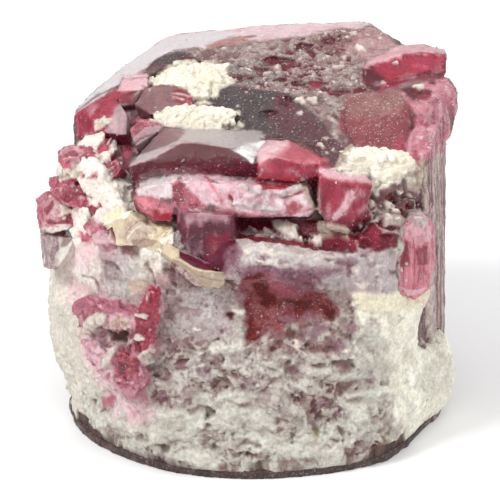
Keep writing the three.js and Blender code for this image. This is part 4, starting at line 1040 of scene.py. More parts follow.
rubelliteShape = {
    "meshSize": 0.16, "triangles": 194000,
    # size and height in mm
    "pit": (0.9, 0.22), "chip": (0.7, 0.1), "stria": (0.9, 0.07), "fineStria": (0.55, 0.1),
    "lump": 1.1, "plate": 1.1, "plateShare": 0.8, "patch": 4, "flankPatches": (5, 3, 2.6),
    # how far a neighbour's grains stray, and how far they stand out
    "stray": {"cream": (0.9, 0.15), "lilac": (0.8, 0.1)},
    # where each part starts and where it is whole: heights and places in mm, and the facing's upward share
    "top": (22, 26), "topFacing": (0.5, 0.8), "flank": (33, 29), "flankFacing": (0.35, 0.15),
    "foot": (3.6, 2.2), "footReach": 4.5, "overhang": (17, 18), "overhangFacing": (-0.3, -0.6),
    "rightFlank": (14, 16), "rightFlankBehind": (-9, -6), "buried": (0.7, 0.5),
}
rubellite, cage = finePiece("tourmaline_crystal", "rubellite", rubelliteShape["meshSize"])
where, facing = places(rubellite), facings(rubellite)
high, upward = where[:, 2], facing[:, 2]
report("rubellite remeshed, %d points" % len(where))
paint = coat("plainBody", where)
seen = seenFrom(cage, where, facing)
paintZones(where, seen, rubelliteZones, paint)
# pits and chips of the etched top
top = ease(*rubelliteShape["top"], high)
etched = ease(0.18, 0.26, paint[:, relief]) * seen * top * ease(*rubelliteShape["topFacing"], upward)
spread = 0.3 * rough(where, rubelliteShape["patch"], 54)
size, depth = rubelliteShape["pit"]
pits = etched * ease(0.22, 0.34, rough(warped(where, 0.8, 0.3, 52), size, 50, 3) + spread)
wash(paint, where, pits, "pitWine")
paint[:, dent] += depth * pits
size, rise = rubelliteShape["chip"]
chips = etched * (1 - pits) * ease(0.38, 0.46, rough(where, size, 56, 3) - spread)
wash(paint, where, chips, "chipWhite")
paint[:, dent] -= rise * chips
out = sprinkle(where, paint, treeOf(*pocketNodes), "cream", *rubelliteShape["stray"]["cream"])
out += sprinkle(where, paint, treeOf("albite_crust"), "lilac", *rubelliteShape["stray"]["lilac"])
paintZones(where, seen, columnZones, paint)
report("rubellite painted")
height = rubelliteShape["plateShare"] * plates(where, rubelliteShape["plate"], 17)[0]
height = rough(where, rubelliteShape["lump"], 3, 4) + height
# upright growth lines and pale patches on the prism's sides, and its dark foot
flank = ease(*rubelliteShape["flankFacing"], np.abs(upward)) * ease(*rubelliteShape["flank"], high)
behind = flank * (1 - seen)
upright = where * (1, 1, 0.02)  # the same all the way up
stria = rough(upright, rubelliteShape["stria"][0], 28, 4)
large, middling, small = rubelliteShape["flankPatches"]
wash(paint, where, behind * ease(-0.1, 0.3, stria + 0.5 * rough(where, large, 29)), "flankLight")
wash(paint, where, behind * ease(0.15, 0.4, -stria + 0.4 * rough(where, middling, 30)), "flankDark")
wash(paint, where, behind * ease(0.35, 0.5, rough(where, small, 36, 4)), "frostRose")
foot = np.nonzero(high < rubelliteShape["footReach"])[0]
footShare = ease(*rubelliteShape["foot"], high[foot] + 1.6 * rough(where[foot], 1.5, 44, 4))
lay(paint, foot, footShare, coat("darkRim", where[foot]))
# painted light: downward faces under the ledge get the brighter crimson, lightening their shade
overhang = ease(*rubelliteShape["overhangFacing"], upward) * ease(*rubelliteShape["overhang"], high)
wash(paint, where, overhang, "shadeWine")
rightFlank = flank * ease(*rubelliteShape["rightFlank"], where[:, 0])
rightFlank = rightFlank * ease(*rubelliteShape["rightFlankBehind"], where[:, 1])
size, depth = rubelliteShape["fineStria"]
fineStria = rough(upright, size, 71, 3)
wash(paint, where, rightFlank * ease(0.05, 0.25, fineStria) * 0.85, "flankDark")
wash(paint, where, rightFlank * ease(-0.1, -0.3, fineStria) * 0.7, "stripedSide")
paint[:, dent] += depth * rightFlank * fineStria
paint[:, hollow] = ease(-0.8, 0.6, height)
buried = beside(where, treeOf("albite_crust"), *rubelliteShape["buried"]) * (seen == 0)
lift = height * paint[:, relief] + rubelliteShape["stria"][1] * flank * stria + out
lift = lift * (1 - buried) - paint[:, dent]
moved = where + facing * lift[:, None]
rubelliteStone = stoneMaterial("rubellite", rubelliteLook)
finishPiece(rubellite, cage, moved, paint, seen, buried, rubelliteShape["triangles"], rubelliteStone,
            "tourmaline", "tourmaline_crystal")

# grains on its etched parts, and a few elsewhere where it sparkles
grainLook = {
    "count": 5000, "block": 1.5, "sizes": (0.05, 0.18), "flat": 0.3, "seed": 8,
    "pale": (236, 224, 220), "paleShares": (0.2, 0.8), "lowest": 4, "patch": 1.6,
}
rest = (buried < 0.5) & (high > grainLook["lowest"])
bare = ease(-0.1, 0.5, rough(where, grainLook["patch"], 12))
ground = rest * np.minimum(paint[:, relief], 0.3) ** 1.5 * bare
ground = ground + 0.001 * rest * paint[:, sparkle]
chosen = pickPoints(ground, grainLook["count"], 5)
strew("etchedGrains", moved, facing, paint, chosen, rubelliteStone, grainLook)

# the white crust
lowerLeftZones = [
    ("pinkHalo", 7, [86, 294, 106, 288, 140, 294, 160, 284, 166, 300, 158, 350, 148, 385, 156, 406,
        146, 414, 120, 408, 106, 394, 98, 372, 86, 350, 80, 320], 0.85),
    ("roseFrost", 2.5, [80, 300, 95, 297, 140, 303, 136, 316, 112, 314, 85, 324]),
    ("raspberry", 1.5, [148, 284, 160, 288, 161, 308, 154, 340, 140, 356, 134, 350, 134, 318, 142, 300]),
    ("rosyWash", 2, [80, 338, 100, 336, 110, 348, 100, 370, 88, 366]),
    ("roseFrost", 2.5, [112, 352, 132, 346, 148, 362, 142, 384, 120, 386, 110, 368]),
    ("crimson", 2, [118, 356, 130, 352, 140, 362, 134, 376, 120, 376], 0.7),
    ("roseFrost", 3, [118, 384, 148, 380, 150, 400, 130, 402], 0.7),
    ("roseFrost", 2, [100, 396, 116, 396, 113, 406, 102, 406], 0.9),
    ("rosyWash", 3, [120, 404, 150, 404, 154, 418, 130, 420], 0.6),
    ("peach", 2.2, [110, 320, 124, 317, 132, 321, 127, 330, 113, 328], 0.75),
    ("brownPit", 1.5, [108, 329, 128, 330, 126, 342, 112, 341], 1, 0.5),
    ("chipWhite", 1.2, [84, 322, 98, 312, 108, 314, 106, 322, 92, 330, 85, 332], 1, -0.3),
    ("chipWhite", 1, [105, 368, 103, 361, 108, 352, 117, 346, 123, 347, 116, 354, 112, 364], 1, -0.35),
    ("chipWhite", 1.2, [142, 350, 153, 346, 157, 354, 152, 364, 143, 366, 139, 358], 1, -0.3),
    ("darkWine", 1.5, [100, 340, 112, 342, 106, 352, 98, 348], 0.7, 0.2),
    *blobs("chipWhite", 0.8, 1, -0.3, (143, 316, 6, 2.4, 15), (139, 338, 5, 3.6)),
    # painted highlights: small pale streaks on the lower left crystal
    *blobs("edgeLight", 0.8, 0.8, -0.05, (120, 314, 4, 1.2), (155, 286, 4, 2, 30), (118, 380, 5, 1.4, 20),
        (130, 383, 5, 1.2), (92, 303, 3, 1.4, 40), (148, 296, 1.4, 5, 10), (134, 326, 1.2, 7, 5),
        (70, 296, 1.6, 4, 10), (100, 306, 4, 1.2, 30), (140, 372, 2, 5, 10)),
    *blobs("darkWine", 1, 0.6, 0.15, (122, 368, 4, 5), (134, 343, 3, 4, 20), (105, 332, 5, 2),
        (90, 334, 4, 2)),
]
crustLook = {
    "blotchSize": 1.0, "blotchStart": 0.45, "blotchFull": 0.66, "hollowPull": 0.6,
    "cloudSize": 2.6, "cloud": 0.7, "fineSize": 0.28, "grainSize": 0.34, "grain": 0.24,
    "streakSize": 0.4, "streak": 0.0, "glintSize": 0.2, "specks": 0.36, "glintColour": (252, 252, 248),
    "scatter": (1.0, 0.75, 0.6), "scatterDepth": 0.5, "ior": 1.53, "reflection": 0.25, "clear": 0.0,
    "bump": 1.0, "bumpDepth": 0.4, "bumpSize": 0.6,
}
crustZones = [
    ("leftCream", 4, [40, 240, 80, 240, 72, 300, 76, 350, 90, 400, 110, 440, 80, 440, 50, 330]),
    ("creamCrust", 4, [40, 120, 190, 120, 182, 200, 182, 235, 160, 245, 120, 240, 70, 262,
        40, 268], 1, -0.3),
    ("pinkHalo", 6, [58, 262, 75, 244, 100, 236, 132, 240, 128, 260, 110, 278, 104, 304, 76, 310, 66, 285]),
    ("frostWhite", 7, [78, 262, 98, 256, 130, 262, 150, 262, 160, 274, 140, 284, 118, 300, 96, 300, 80, 292,
        74, 276], 0.8),
    ("leftCream", 4, [134, 250, 150, 246, 160, 262, 158, 280, 144, 278, 136, 264], 0.9),
    ("frostRose", 6, [100, 250, 128, 252, 124, 262, 104, 264], 0.6),
    ("roseFrost", 4, [84, 240, 98, 236, 108, 244, 96, 256, 82, 254], 0.7),
    ("lilac", 4, [150, 262, 170, 265, 190, 270, 240, 270, 245, 300, 235, 335, 200, 345, 165, 330, 160, 300,
        150, 280]),
    ("frostWhite", 4, [172, 300, 200, 288, 225, 292, 238, 312, 222, 336, 196, 342, 176, 330], 0.45),
    ("freckled", 3, [164, 262, 180, 266, 192, 274, 200, 286, 185, 290, 170, 282], 0.8),
    ("freckled", 3, [212, 282, 238, 276, 240, 296, 222, 300], 0.6),
    ("freckled", 3.5, [152, 335, 170, 330, 188, 338, 196, 352, 186, 366, 182, 398, 165, 408, 152, 398,
        158, 370], 0.9),
    ("lilac", 3, [172, 370, 192, 368, 194, 404, 178, 408], 0.9),
    ("freckled", 3.5, [215, 362, 240, 360, 262, 365, 262, 378, 240, 392, 220, 385], 0.8),
    ("freckled", 3.5, [290, 290, 340, 288, 358, 300, 356, 330, 345, 345, 310, 350, 290, 345, 270, 352,
        265, 338, 300, 325], 0.9),
    ("freckled", 3, [285, 372, 320, 370, 340, 380, 360, 388, 340, 400, 345, 420, 310, 425, 300, 410,
        285, 395], 0.7),
    ("freckled", 3, [330, 445, 370, 440, 390, 448, 392, 460, 350, 468, 320, 462], 0.8),
    ("lilac", 5, [225, 348, 262, 345, 290, 362, 280, 395, 300, 420, 265, 410, 240, 400, 225, 380], 0.6),
    ("clumpWhite", 5, [85, 400, 150, 422, 190, 405, 250, 405, 300, 425, 345, 425, 340, 470, 250, 480,
        150, 470, 95, 442]),
    ("smoothFan", 6, [352, 305, 378, 310, 420, 304, 440, 290, 460, 300, 460, 420, 405, 462, 392, 458,
        385, 430, 378, 415, 372, 395, 384, 378, 366, 350, 360, 325]),
    ("clumpWhite", 3, [345, 395, 372, 388, 392, 396, 392, 420, 380, 432, 352, 430], 0.9),
    ("fanRim", 3, [348, 292, 364, 288, 380, 290, 398, 290, 420, 294, 440, 285, 452, 290, 446, 302, 424, 304,
        408, 310, 388, 313, 368, 311, 356, 303], 1, -0.3),
    ("crest", 3, [410, 385, 440, 350, 456, 352, 452, 385, 425, 400], 0.7),
    ("frostRose", 3, [332, 252, 386, 248, 402, 262, 404, 290, 390, 292, 350, 292, 335, 284]),
    ("frostWhite", 4, [350, 256, 386, 252, 400, 264, 398, 284, 372, 288, 352, 282], 0.8),
    ("frostWhite", 3, [230, 246, 262, 244, 300, 252, 340, 252, 345, 264, 310, 270, 280, 268, 262, 266,
        236, 264]),
    ("purpleFrost", 3, [236, 266, 262, 264, 290, 266, 320, 268, 342, 268, 345, 286, 318, 288, 290, 284,
        262, 278, 240, 274], 0.9),
    ("frostWhite", 3, [318, 272, 345, 274, 352, 288, 335, 286, 322, 284], 0.7),
    ("redStain", 6, [242, 273, 262, 270, 275, 276, 290, 284, 310, 286, 325, 292, 334, 303, 338, 316,
        330, 318, 318, 312, 300, 325, 285, 332, 272, 336, 258, 340, 250, 342, 246, 330, 243, 314, 236, 303,
        240, 288], 1, 0.35),
    ("roseFrost", 5, [268, 276, 290, 284, 312, 288, 300, 300, 280, 296, 270, 290], 0.6),
    ("yellowSpot", 2.5, [104, 218, 112, 208, 124, 210, 122, 224, 110, 228]),
    ("rose", 1, [99, 154, 102, 143, 110, 138, 122, 137, 131, 141, 131, 149, 124, 142, 114, 141, 107, 146,
        104, 154]),
    ("peach", 2.5, [128, 286, 134, 278, 147, 281, 147, 290, 140, 296, 129, 294], 0.7),
    ("lilac", 2, [70, 160, 80, 160, 82, 170, 72, 172], 0.7),
    # larger lumps and the creases between them
    *blobs("crest", 4, 0.8, -0.35, (170, 437, 30, 8, -8), (240, 418, 30, 12), (270, 446, 28, 9, 5),
        (330, 452, 26, 9, -8), (356, 412, 12, 9), (120, 424, 24, 8, 20), (200, 458, 26, 8, 8),
        (270, 366, 16, 7, 20), (222, 348, 18, 5, -10), (235, 398, 18, 8), (345, 374, 16, 6, -5),
        (300, 384, 10, 8), (205, 424, 14, 4, -15), (380, 404, 8, 9), (150, 262, 12, 8, 20),
        (100, 385, 10, 14)),
    *strokes("brownCrease", 2, 0.7, 0.1, 4, [190, 413, 198, 407, 208, 407, 215, 413, 214, 420],
        [297, 391, 304, 395, 305, 402, 300, 405], [270, 383, 280, 377, 290, 368, 304, 361],
        [250, 358, 262, 364, 275, 369], [335, 389, 345, 385, 358, 380], [366, 402, 369, 410, 373, 420],
        [384, 420, 390, 427, 387, 436], [286, 440, 292, 437, 295, 431], [346, 401, 358, 399, 366, 396],
        [309, 419, 315, 428, 320, 438], [205, 446, 214, 444, 216, 450], [150, 446, 160, 443, 170, 446],
        [236, 447, 248, 442, 262, 446], [226, 398, 240, 404, 256, 406], [196, 432, 206, 430, 214, 434],
        [128, 436, 140, 440, 150, 440], [362, 340, 372, 350, 376, 366], [404, 450, 414, 438, 430, 424],
        [100, 330, 96, 345, 100, 360]),
    *strokes("crest", 2.5, 0.8, -0.15, 5, [135, 433, 160, 430, 185, 425, 205, 420, 222, 419],
        [345, 397, 360, 393, 378, 389, 392, 391], [250, 362, 262, 369, 276, 374],
        [196, 354, 212, 350, 226, 344], [300, 368, 318, 372, 330, 368], [218, 374, 232, 380, 240, 390],
        [252, 404, 262, 412, 280, 414], [280, 436, 300, 442, 320, 436], [150, 408, 166, 414, 182, 412],
        [396, 392, 410, 404, 404, 420], [228, 302, 236, 308, 241, 312], [305, 335, 318, 330, 330, 334],
        [90, 408, 102, 424, 120, 432], [330, 432, 342, 440, 356, 440]),
    *strokes("freckled", 1.2, 0.9, 0.15, 4, [308, 375, 318, 380, 330, 385], [322, 402, 332, 408, 336, 418],
        [232, 372, 244, 376, 250, 372], [338, 426, 344, 436, 342, 444], [240, 452, 254, 455, 268, 452],
        [160, 462, 176, 458, 190, 462]),
    *blobs("rustRed", 2.4, 1, 0.25, (326, 311, 10, 3.4, 40), (331, 316, 4, 6, -20), (252, 329, 5, 10, 5),
        (253, 277, 9, 4, 5), (230, 317, 3.4, 4), (208, 355, 3.4, 3.4), (254, 384, 3, 3.6),
        (268, 300, 12, 5, 30), (300, 305, 14, 4, 5), (262, 290, 8, 6)),
    *blobs("rustRed", 1.2, 0.7, 0.25, (280, 344, 4, 4), (183, 360, 6, 1.6), (165, 360, 5, 0.9),
        (226, 380, 8, 2.4, 30), (344, 363, 10, 4, 5), (318, 365, 7, 2), (350, 338, 3.4, 4),
        (350, 268, 3, 5), (392, 274, 2, 2), (328, 349, 6, 3, -10), (290, 333, 4, 5), (352, 250, 4, 2),
        (364, 256, 3, 2), (330, 260, 5, 1.6), (206, 306, 3, 1.6), (168, 340, 4, 2), (178, 350, 5, 1.8),
        (162, 352, 3, 2)),
    *blobs("greyPit", 1.6, 0.8, 0.35, (384, 381, 3.4, 5), (111, 438, 4.5, 4.5), (165, 448, 4, 4.5),
        (214, 446, 2.4, 3), (256, 465, 7, 2.6), (210, 425, 3.4, 1.8), (380, 411, 2, 3.4), (342, 432, 2, 4),
        (292, 436, 3, 4, 30), (302, 397, 3, 5), (210, 412, 4, 5, 20)),
    *blobs("yellowStain", 1, 0.8, 0.25, (385, 444, 3, 7, -5), (263, 469, 3.4, 4.4), (316, 433, 2.4, 5, -20),
        (120, 442, 3, 2)),
    *blobs("chipWhite", 0.8, 0.9, -0.15, (248, 252, 5, 3), (200, 354, 4, 1.4, -20), (228, 400, 3, 1.6),
        (238, 311, 6, 3, 10), (196, 330, 5, 2), (346, 350, 5, 2), (352, 356, 3, 3), (270, 408, 3, 1.6),
        (296, 344, 3, 5), (326, 324, 6, 2.4), (278, 314, 1, 1.2), (262, 316, 0.9, 0.9),
        (258, 332, 0.9, 1.2), (284, 304, 0.9, 0.9)),
    *blobs("clumpWhite", 4, 0.9, -0.1, (368, 336, 9, 8, 20), (384, 366, 8, 12, -20), (376, 398, 10, 8),
        (392, 430, 8, 12, 10), (398, 452, 10, 6)),
    *blobs("lilac", 3, 0.7, 0.05, (372, 322, 8, 4, 30), (382, 346, 5, 7), (372, 380, 6, 7),
        (388, 412, 5, 8)),
    *strokes("crest", 3, 0.7, -0.15, 6, [392, 330, 398, 350, 396, 370], [408, 322, 420, 345, 424, 372],
        [428, 312, 438, 335, 440, 360], [372, 328, 380, 344, 384, 360]),
    *strokes("chipBeige", 3, 0.3, 0.1, 4, [400, 330, 408, 352, 404, 376], [418, 320, 430, 345, 432, 372],
        [376, 350, 392, 376, 398, 392], [404, 428, 412, 440, 404, 452], [384, 312, 392, 322, 390, 336],
        [440, 330, 444, 350, 446, 372]),
    *strokes("crest", 2, 0.6, -0.12, 4, [240, 250, 262, 249, 290, 256, 318, 258, 342, 256],
        [250, 258, 280, 264, 306, 266]),
    *blobs("purpleFrost", 2.5, 0.7, -0.1, (286, 320, 9, 4, 10), (308, 318, 7, 4, -10), (300, 294, 6, 3, 10),
        (242, 300, 5, 8, 20), (322, 326, 8, 4, -10), (268, 332, 6, 3)),
    *strokes("purpleFrost", 2.5, 0.8, 0.12, 5, [238, 262, 256, 268, 280, 272, 304, 276, 330, 274],
        [262, 280, 290, 286, 318, 290, 340, 292], [344, 252, 350, 264, 348, 276]),
    *blobs("purpleFrost", 2.5, 0.8, 0.12, (250, 270, 8, 4), (290, 275, 12, 5, 6), (318, 276, 8, 5),
        (262, 258, 5, 2), (326, 254, 8, 2), (306, 266, 8, 3, 8), (352, 266, 3, 7), (284, 262, 6, 2),
        (340, 262, 5, 3)),
    *blobs("mauve", 1.5, 0.6, 0.1, (352, 268, 2.4, 6), (290, 278, 5, 2, 10), (306, 272, 3, 2),
        (248, 272, 4, 2), (393, 275, 2, 1.6)),
    *blobs("chipWhite", 1.2, 0.7, -0.1, (356, 270, 4, 3), (376, 273, 3, 3), (388, 246, 5, 3),
        (270, 252, 10, 2, 4), (362, 284, 6, 3)),
    *blobs("brownRose", 2, 0.8, 0.1, (170, 356, 8, 4, 20), (158, 384, 6, 8), (190, 382, 5, 6),
        (232, 372, 8, 4, 10), (320, 348, 10, 3), (342, 368, 8, 4, 10), (296, 402, 4, 6),
        (330, 392, 8, 4, 20), (352, 452, 10, 4), (180, 300, 4, 3), (214, 392, 5, 3), (262, 388, 5, 3),
        (310, 412, 6, 4), (186, 340, 5, 3), (288, 352, 6, 3), (348, 310, 4, 6), (160, 330, 4, 5),
        (376, 446, 6, 3), (226, 466, 8, 2), (310, 460, 8, 2.4)),
    *blobs("purpleFrost", 2, 0.7, 0.05, (174, 344, 6, 4), (182, 366, 6, 3), (206, 372, 6, 5),
        (248, 376, 6, 3), (312, 334, 8, 5), (340, 346, 6, 6), (322, 404, 8, 6), (338, 414, 5, 4),
        (164, 398, 6, 5), (296, 372, 8, 4, 20), (352, 326, 5, 8), (180, 276, 7, 4), (204, 300, 5, 3),
        (222, 330, 6, 3), (368, 380, 6, 4)),
    ("purple", 3, [176, 230, 236, 230, 236, 262, 230, 272, 206, 272, 184, 260]),
    ("purpleFrost", 2.5, [182, 240, 194, 238, 200, 254, 190, 262, 182, 258], 0.7),
    ("purpleFrost", 3, [226, 250, 240, 246, 244, 276, 222, 276], 0.7),
    *strokes("darkRim", 1.5, 1, 0.3, 9, [70, 402, 82, 420, 98, 436, 120, 448, 150, 460, 190, 469, 232, 473],
        [300, 476, 330, 472, 360, 464, 386, 451, 406, 436]),
    *blobs("etchedRose", 1.2, 1, -0.1, (104, 148, 5, 4, 10), (112, 160, 5, 5), (96, 176, 4, 3, 30),
        (102, 206, 3, 4), (95, 228, 4, 8), (104, 232, 6, 7, -20), (84, 176, 5, 2), (84, 236, 5, 5),
        (92, 240, 9, 4), (118, 228, 3, 2), (74, 226, 4, 2), (124, 190, 3, 2), (96, 209, 4, 2.4)),
    *blobs("darkWine", 1, 0.8, 0.1, (98, 158, 2, 5, 20), (120, 168, 2, 4), (109, 172, 4, 1.2),
        (88, 200, 4, 1, 30), (100, 216, 3, 1)),
    ("creamCrust", 2, [140, 252, 152, 248, 164, 262, 163, 278, 150, 276, 144, 266], 0.8),
    ("freckled", 2, [112, 240, 128, 242, 142, 248, 140, 258, 124, 254, 112, 250], 0.8),
    ("freckled", 2.5, [100, 262, 114, 266, 126, 276, 120, 284, 104, 276], 0.6),
    ("creamCrust", 4, [60, 244, 98, 244, 100, 300, 64, 304], 0.7),
    ("rosyWash", 3, [70, 250, 84, 244, 92, 256, 86, 272, 72, 268], 0.6),
    ("rosyWash", 3, [72, 282, 90, 284, 94, 298, 78, 302], 0.5),
    *strokes("darkWine", 1, 0.8, 0.12, 2, [116, 241, 128, 244, 140, 250, 150, 254],
        [98, 238, 106, 244, 116, 243]),
    *strokes("brownCrease", 1.5, 0.8, 0.1, 3, [100, 258, 112, 264, 124, 274, 128, 284],
        [146, 262, 150, 272, 158, 282], [84, 276, 96, 280, 104, 290]),
    *hollowZones,
]
crustShape = {
    "meshSize": 0.15, "triangles": 194000, "brokenPatch": 3.0, "drift": 3.5,
    # size and height in mm
    "swell": (4.4, 0.45), "lump": (1.7, 0.34), "ridge": (1.9, 0.22), "curl": (0.8, 0.13), "chip": (0.9, 0.16),
    "fuzz": (0.55, 0.24), "tuft": (1.5, 0.16), "hollow": (1.4, 0.14),
    # where each part starts and where it is whole, in mm
    "leftSide": (-13, -16), "rightSide": (13, 15), "looseBelow": (1.5, -1.5), "buried": (0.7, 0.5), "seam": 0.9,
}
crust, cage = finePiece("albite_crust", "crust", crustShape["meshSize"])
where, facing = places(crust), facings(crust)
report("crust remeshed, %d points" % len(where))
paint = coat("albite", where)
wash(paint, where, ease(*crustShape["leftSide"], where[:, 0]), "leftCream")
wash(paint, where, ease(*crustShape["rightSide"], where[:, 0]), "smoothFan")
seen = seenFrom(cage, where, facing)
paintZones(where, seen, crustZones, paint)
paintZones(where, seen, lowerLeftZones, paint)
# white tufts, and brown hollows between them, over the loose lower part
above = where[:, 2] - 15.5 - 0.2 * where[:, 0]  # over a line that climbs to the right
loose = ease(0.8, 0.95, paint[:, relief]) * seen * ease(*crustShape["looseBelow"], above)
drift = rough(where, crustShape["drift"], 143)
size, rise = crustShape["tuft"]
tufts = loose * ease(0.4, 0.66, ridges(warped(where, 0.7, 0.4, 140), size, 141) + 0.5 * drift)
tufts = tufts * (0.35 + 0.65 * ease(1.05, 0.9, paint[:, relief]))
size, depth = crustShape["hollow"]
hollows = rough(warped(where, 0.7, 0.3, 146), size, 147) - 0.6 * drift
hollows = loose * (1 - tufts) * ease(0.16, 0.3, hollows)
wash(paint, where, 0.8 * tufts, "crest")
wash(paint, where, 0.75 * hollows, "brownRose")
paint[:, dent] += depth * hollows - rise * tufts
# some patches are smooth, some broken up
broken = ease(-0.4, 0.3, rough(where, crustShape["brokenPatch"], 33))
forms = (
    ("lump", rough(warped(where, 1.2, 0.3, 46), crustShape["lump"][0], 40), 1),
    ("ridge", ridges(where, crustShape["ridge"][0], 25), 0.35 + 0.65 * broken),
    ("curl", ridges(where, crustShape["curl"][0], 95), 0.3 + 0.7 * broken),
    ("chip", plates(warped(where, 0.6, 0.4, 66), crustShape["chip"][0], 60)[0], broken),
    ("fuzz", rough(where, crustShape["fuzz"][0], 71, 2), 1),
)
height = sum(crustShape[name][1] * form * share for name, form, share in forms)
paint[:, hollow] = ease(-0.5, 0.3, height - 0.8 * paint[:, dent])
height += crustShape["swell"][1] * rough(where, crustShape["swell"][0], 21)
lift = height * paint[:, relief] - paint[:, dent]
buried = beside(where, treeOf("tourmaline_crystal"), *crustShape["buried"]) * (seen == 0)
neighbours = treeOf("tourmaline_crystal", *pinkNodes, *micaNodes)
moved = closeSeams(where + facing * lift[:, None], neighbours, crustShape["seam"])
crustStone = stoneMaterial("albite", crustLook)
finishPiece(crust, cage, moved, paint, seen, buried, crustShape["triangles"], crustStone,
            "albite", "albite_crust")

# the smaller pieces
pinkLook = dict(rubelliteLook, specks=0.41, clear=0.3, reflection=0.4)
creamLook = dict(crustLook, grain=0.12, scatter=(1.0, 0.85, 0.65))
micaLook = dict(crustLook, grain=0.1, bumpDepth=0.03)
frontZones = [
    ("darkFilm", 0.9, [228, 84, 262, 84, 266, 132, 236, 132, 234, 122, 237, 115, 233, 108, 236, 102,
        230, 96], 1, 0.3),
]
flakeZones = [
    ("purple", 0.8, [180, 236, 236, 236, 236, 262, 231, 271, 226, 271.5, 213, 271.5, 203, 269.5, 190, 264.5,
        180, 258], 1, 0.1),
    ("freckled", 0.8, [156, 256, 163, 256, 172, 262, 188, 271.5, 197, 281, 206, 286, 218, 287.5, 218, 296,
        190, 296, 156, 276], 1, 0.1),
    ("lilac", 0.8, [226, 270, 236, 268, 236, 296, 216, 296, 218, 287.5, 226, 285], 1, 0.1),
    ("mica", 1.2, [160, 252, 163, 246, 180, 242, 180, 258, 172, 261]),
    *strokes("mica", 0.8, 0.9, -0.04, 2, [172, 258, 182, 261, 192, 267, 204, 271, 226, 272.5]),
    *strokes("brownCrease", 0.8, 0.7, 0.03, 1.2, [188, 268, 198, 275, 210, 279, 224, 281],
        [194, 274, 202, 282, 212, 285]),
    *strokes("purpleFrost", 1, 0.7, 0, 3, [186, 246, 186, 258], [196, 250, 206, 262]),
]
scaleZones = [
    ("chipBeige", 1.5, [118, 232, 130, 222, 146, 220, 154, 230, 140, 244, 124, 244]),
    ("brownCrease", 1.5, [130, 240, 146, 238, 158, 242, 152, 250, 134, 249], 0.7, 0.1),
    ("cream", 1.5, [160, 240, 172, 232, 178, 240, 176, 262, 166, 256]),
    *strokes("brownCrease", 0.8, 0.6, 0.05, 1.2, [124, 238, 130, 228, 140, 221, 150, 222],
        [146, 221, 156, 229, 157, 238], [156, 238, 166, 230, 177, 224],
        [132, 247, 144, 240, 156, 241, 164, 247], [138, 230, 146, 234, 150, 242]),
    *strokes("cream", 0.8, 0.6, -0.04, 1.5, [126, 241, 133, 231, 142, 225], [160, 241, 168, 233, 177, 228],
        [148, 226, 153, 233, 153, 239]),
]
sideZones = [
    ("gemDeep", 1.2, [397, 246, 408, 240, 410, 266, 404, 268, 398, 264]),
    ("gemDeep", 1.2, [414, 248, 427, 246, 428, 264, 416, 266]),
    ("rosyWash", 1.5, [402, 228, 414, 222, 430, 226, 432, 240, 420, 246, 404, 240], 0.6),
    ("frostWhite", 1.5, [410, 216, 420, 211, 430, 217, 428, 228, 414, 228], 0.8),
    ("rosyWash", 1.2, [400, 286, 412, 290, 426, 288, 420, 296, 408, 295], 0.8),
    # painted highlights along the side crystal's edges
    *strokes("edgeLight", 0.8, 0.5, -0.04, 1.2, [411, 240, 412, 262, 411, 290],
        [429, 232, 431, 256, 429, 284], [401, 244, 400, 262, 400, 284], [406, 262, 407, 274, 405, 288]),
    *strokes("gemDeep", 0.8, 0.8, 0.06, 1.3, [414, 240, 415, 262, 414, 290], [424, 244, 424, 262, 423, 286],
        [419, 246, 420, 266, 418, 290], [404, 246, 404, 268, 403, 286]),
    *blobs("chipWhite", 0.8, 0.9, -0.05, (418, 219, 4, 2.4), (424, 224, 2, 3), (407, 264, 1.6, 1.4),
        (402, 270, 1.2, 2), (406, 280, 1.2, 1.4)),
]
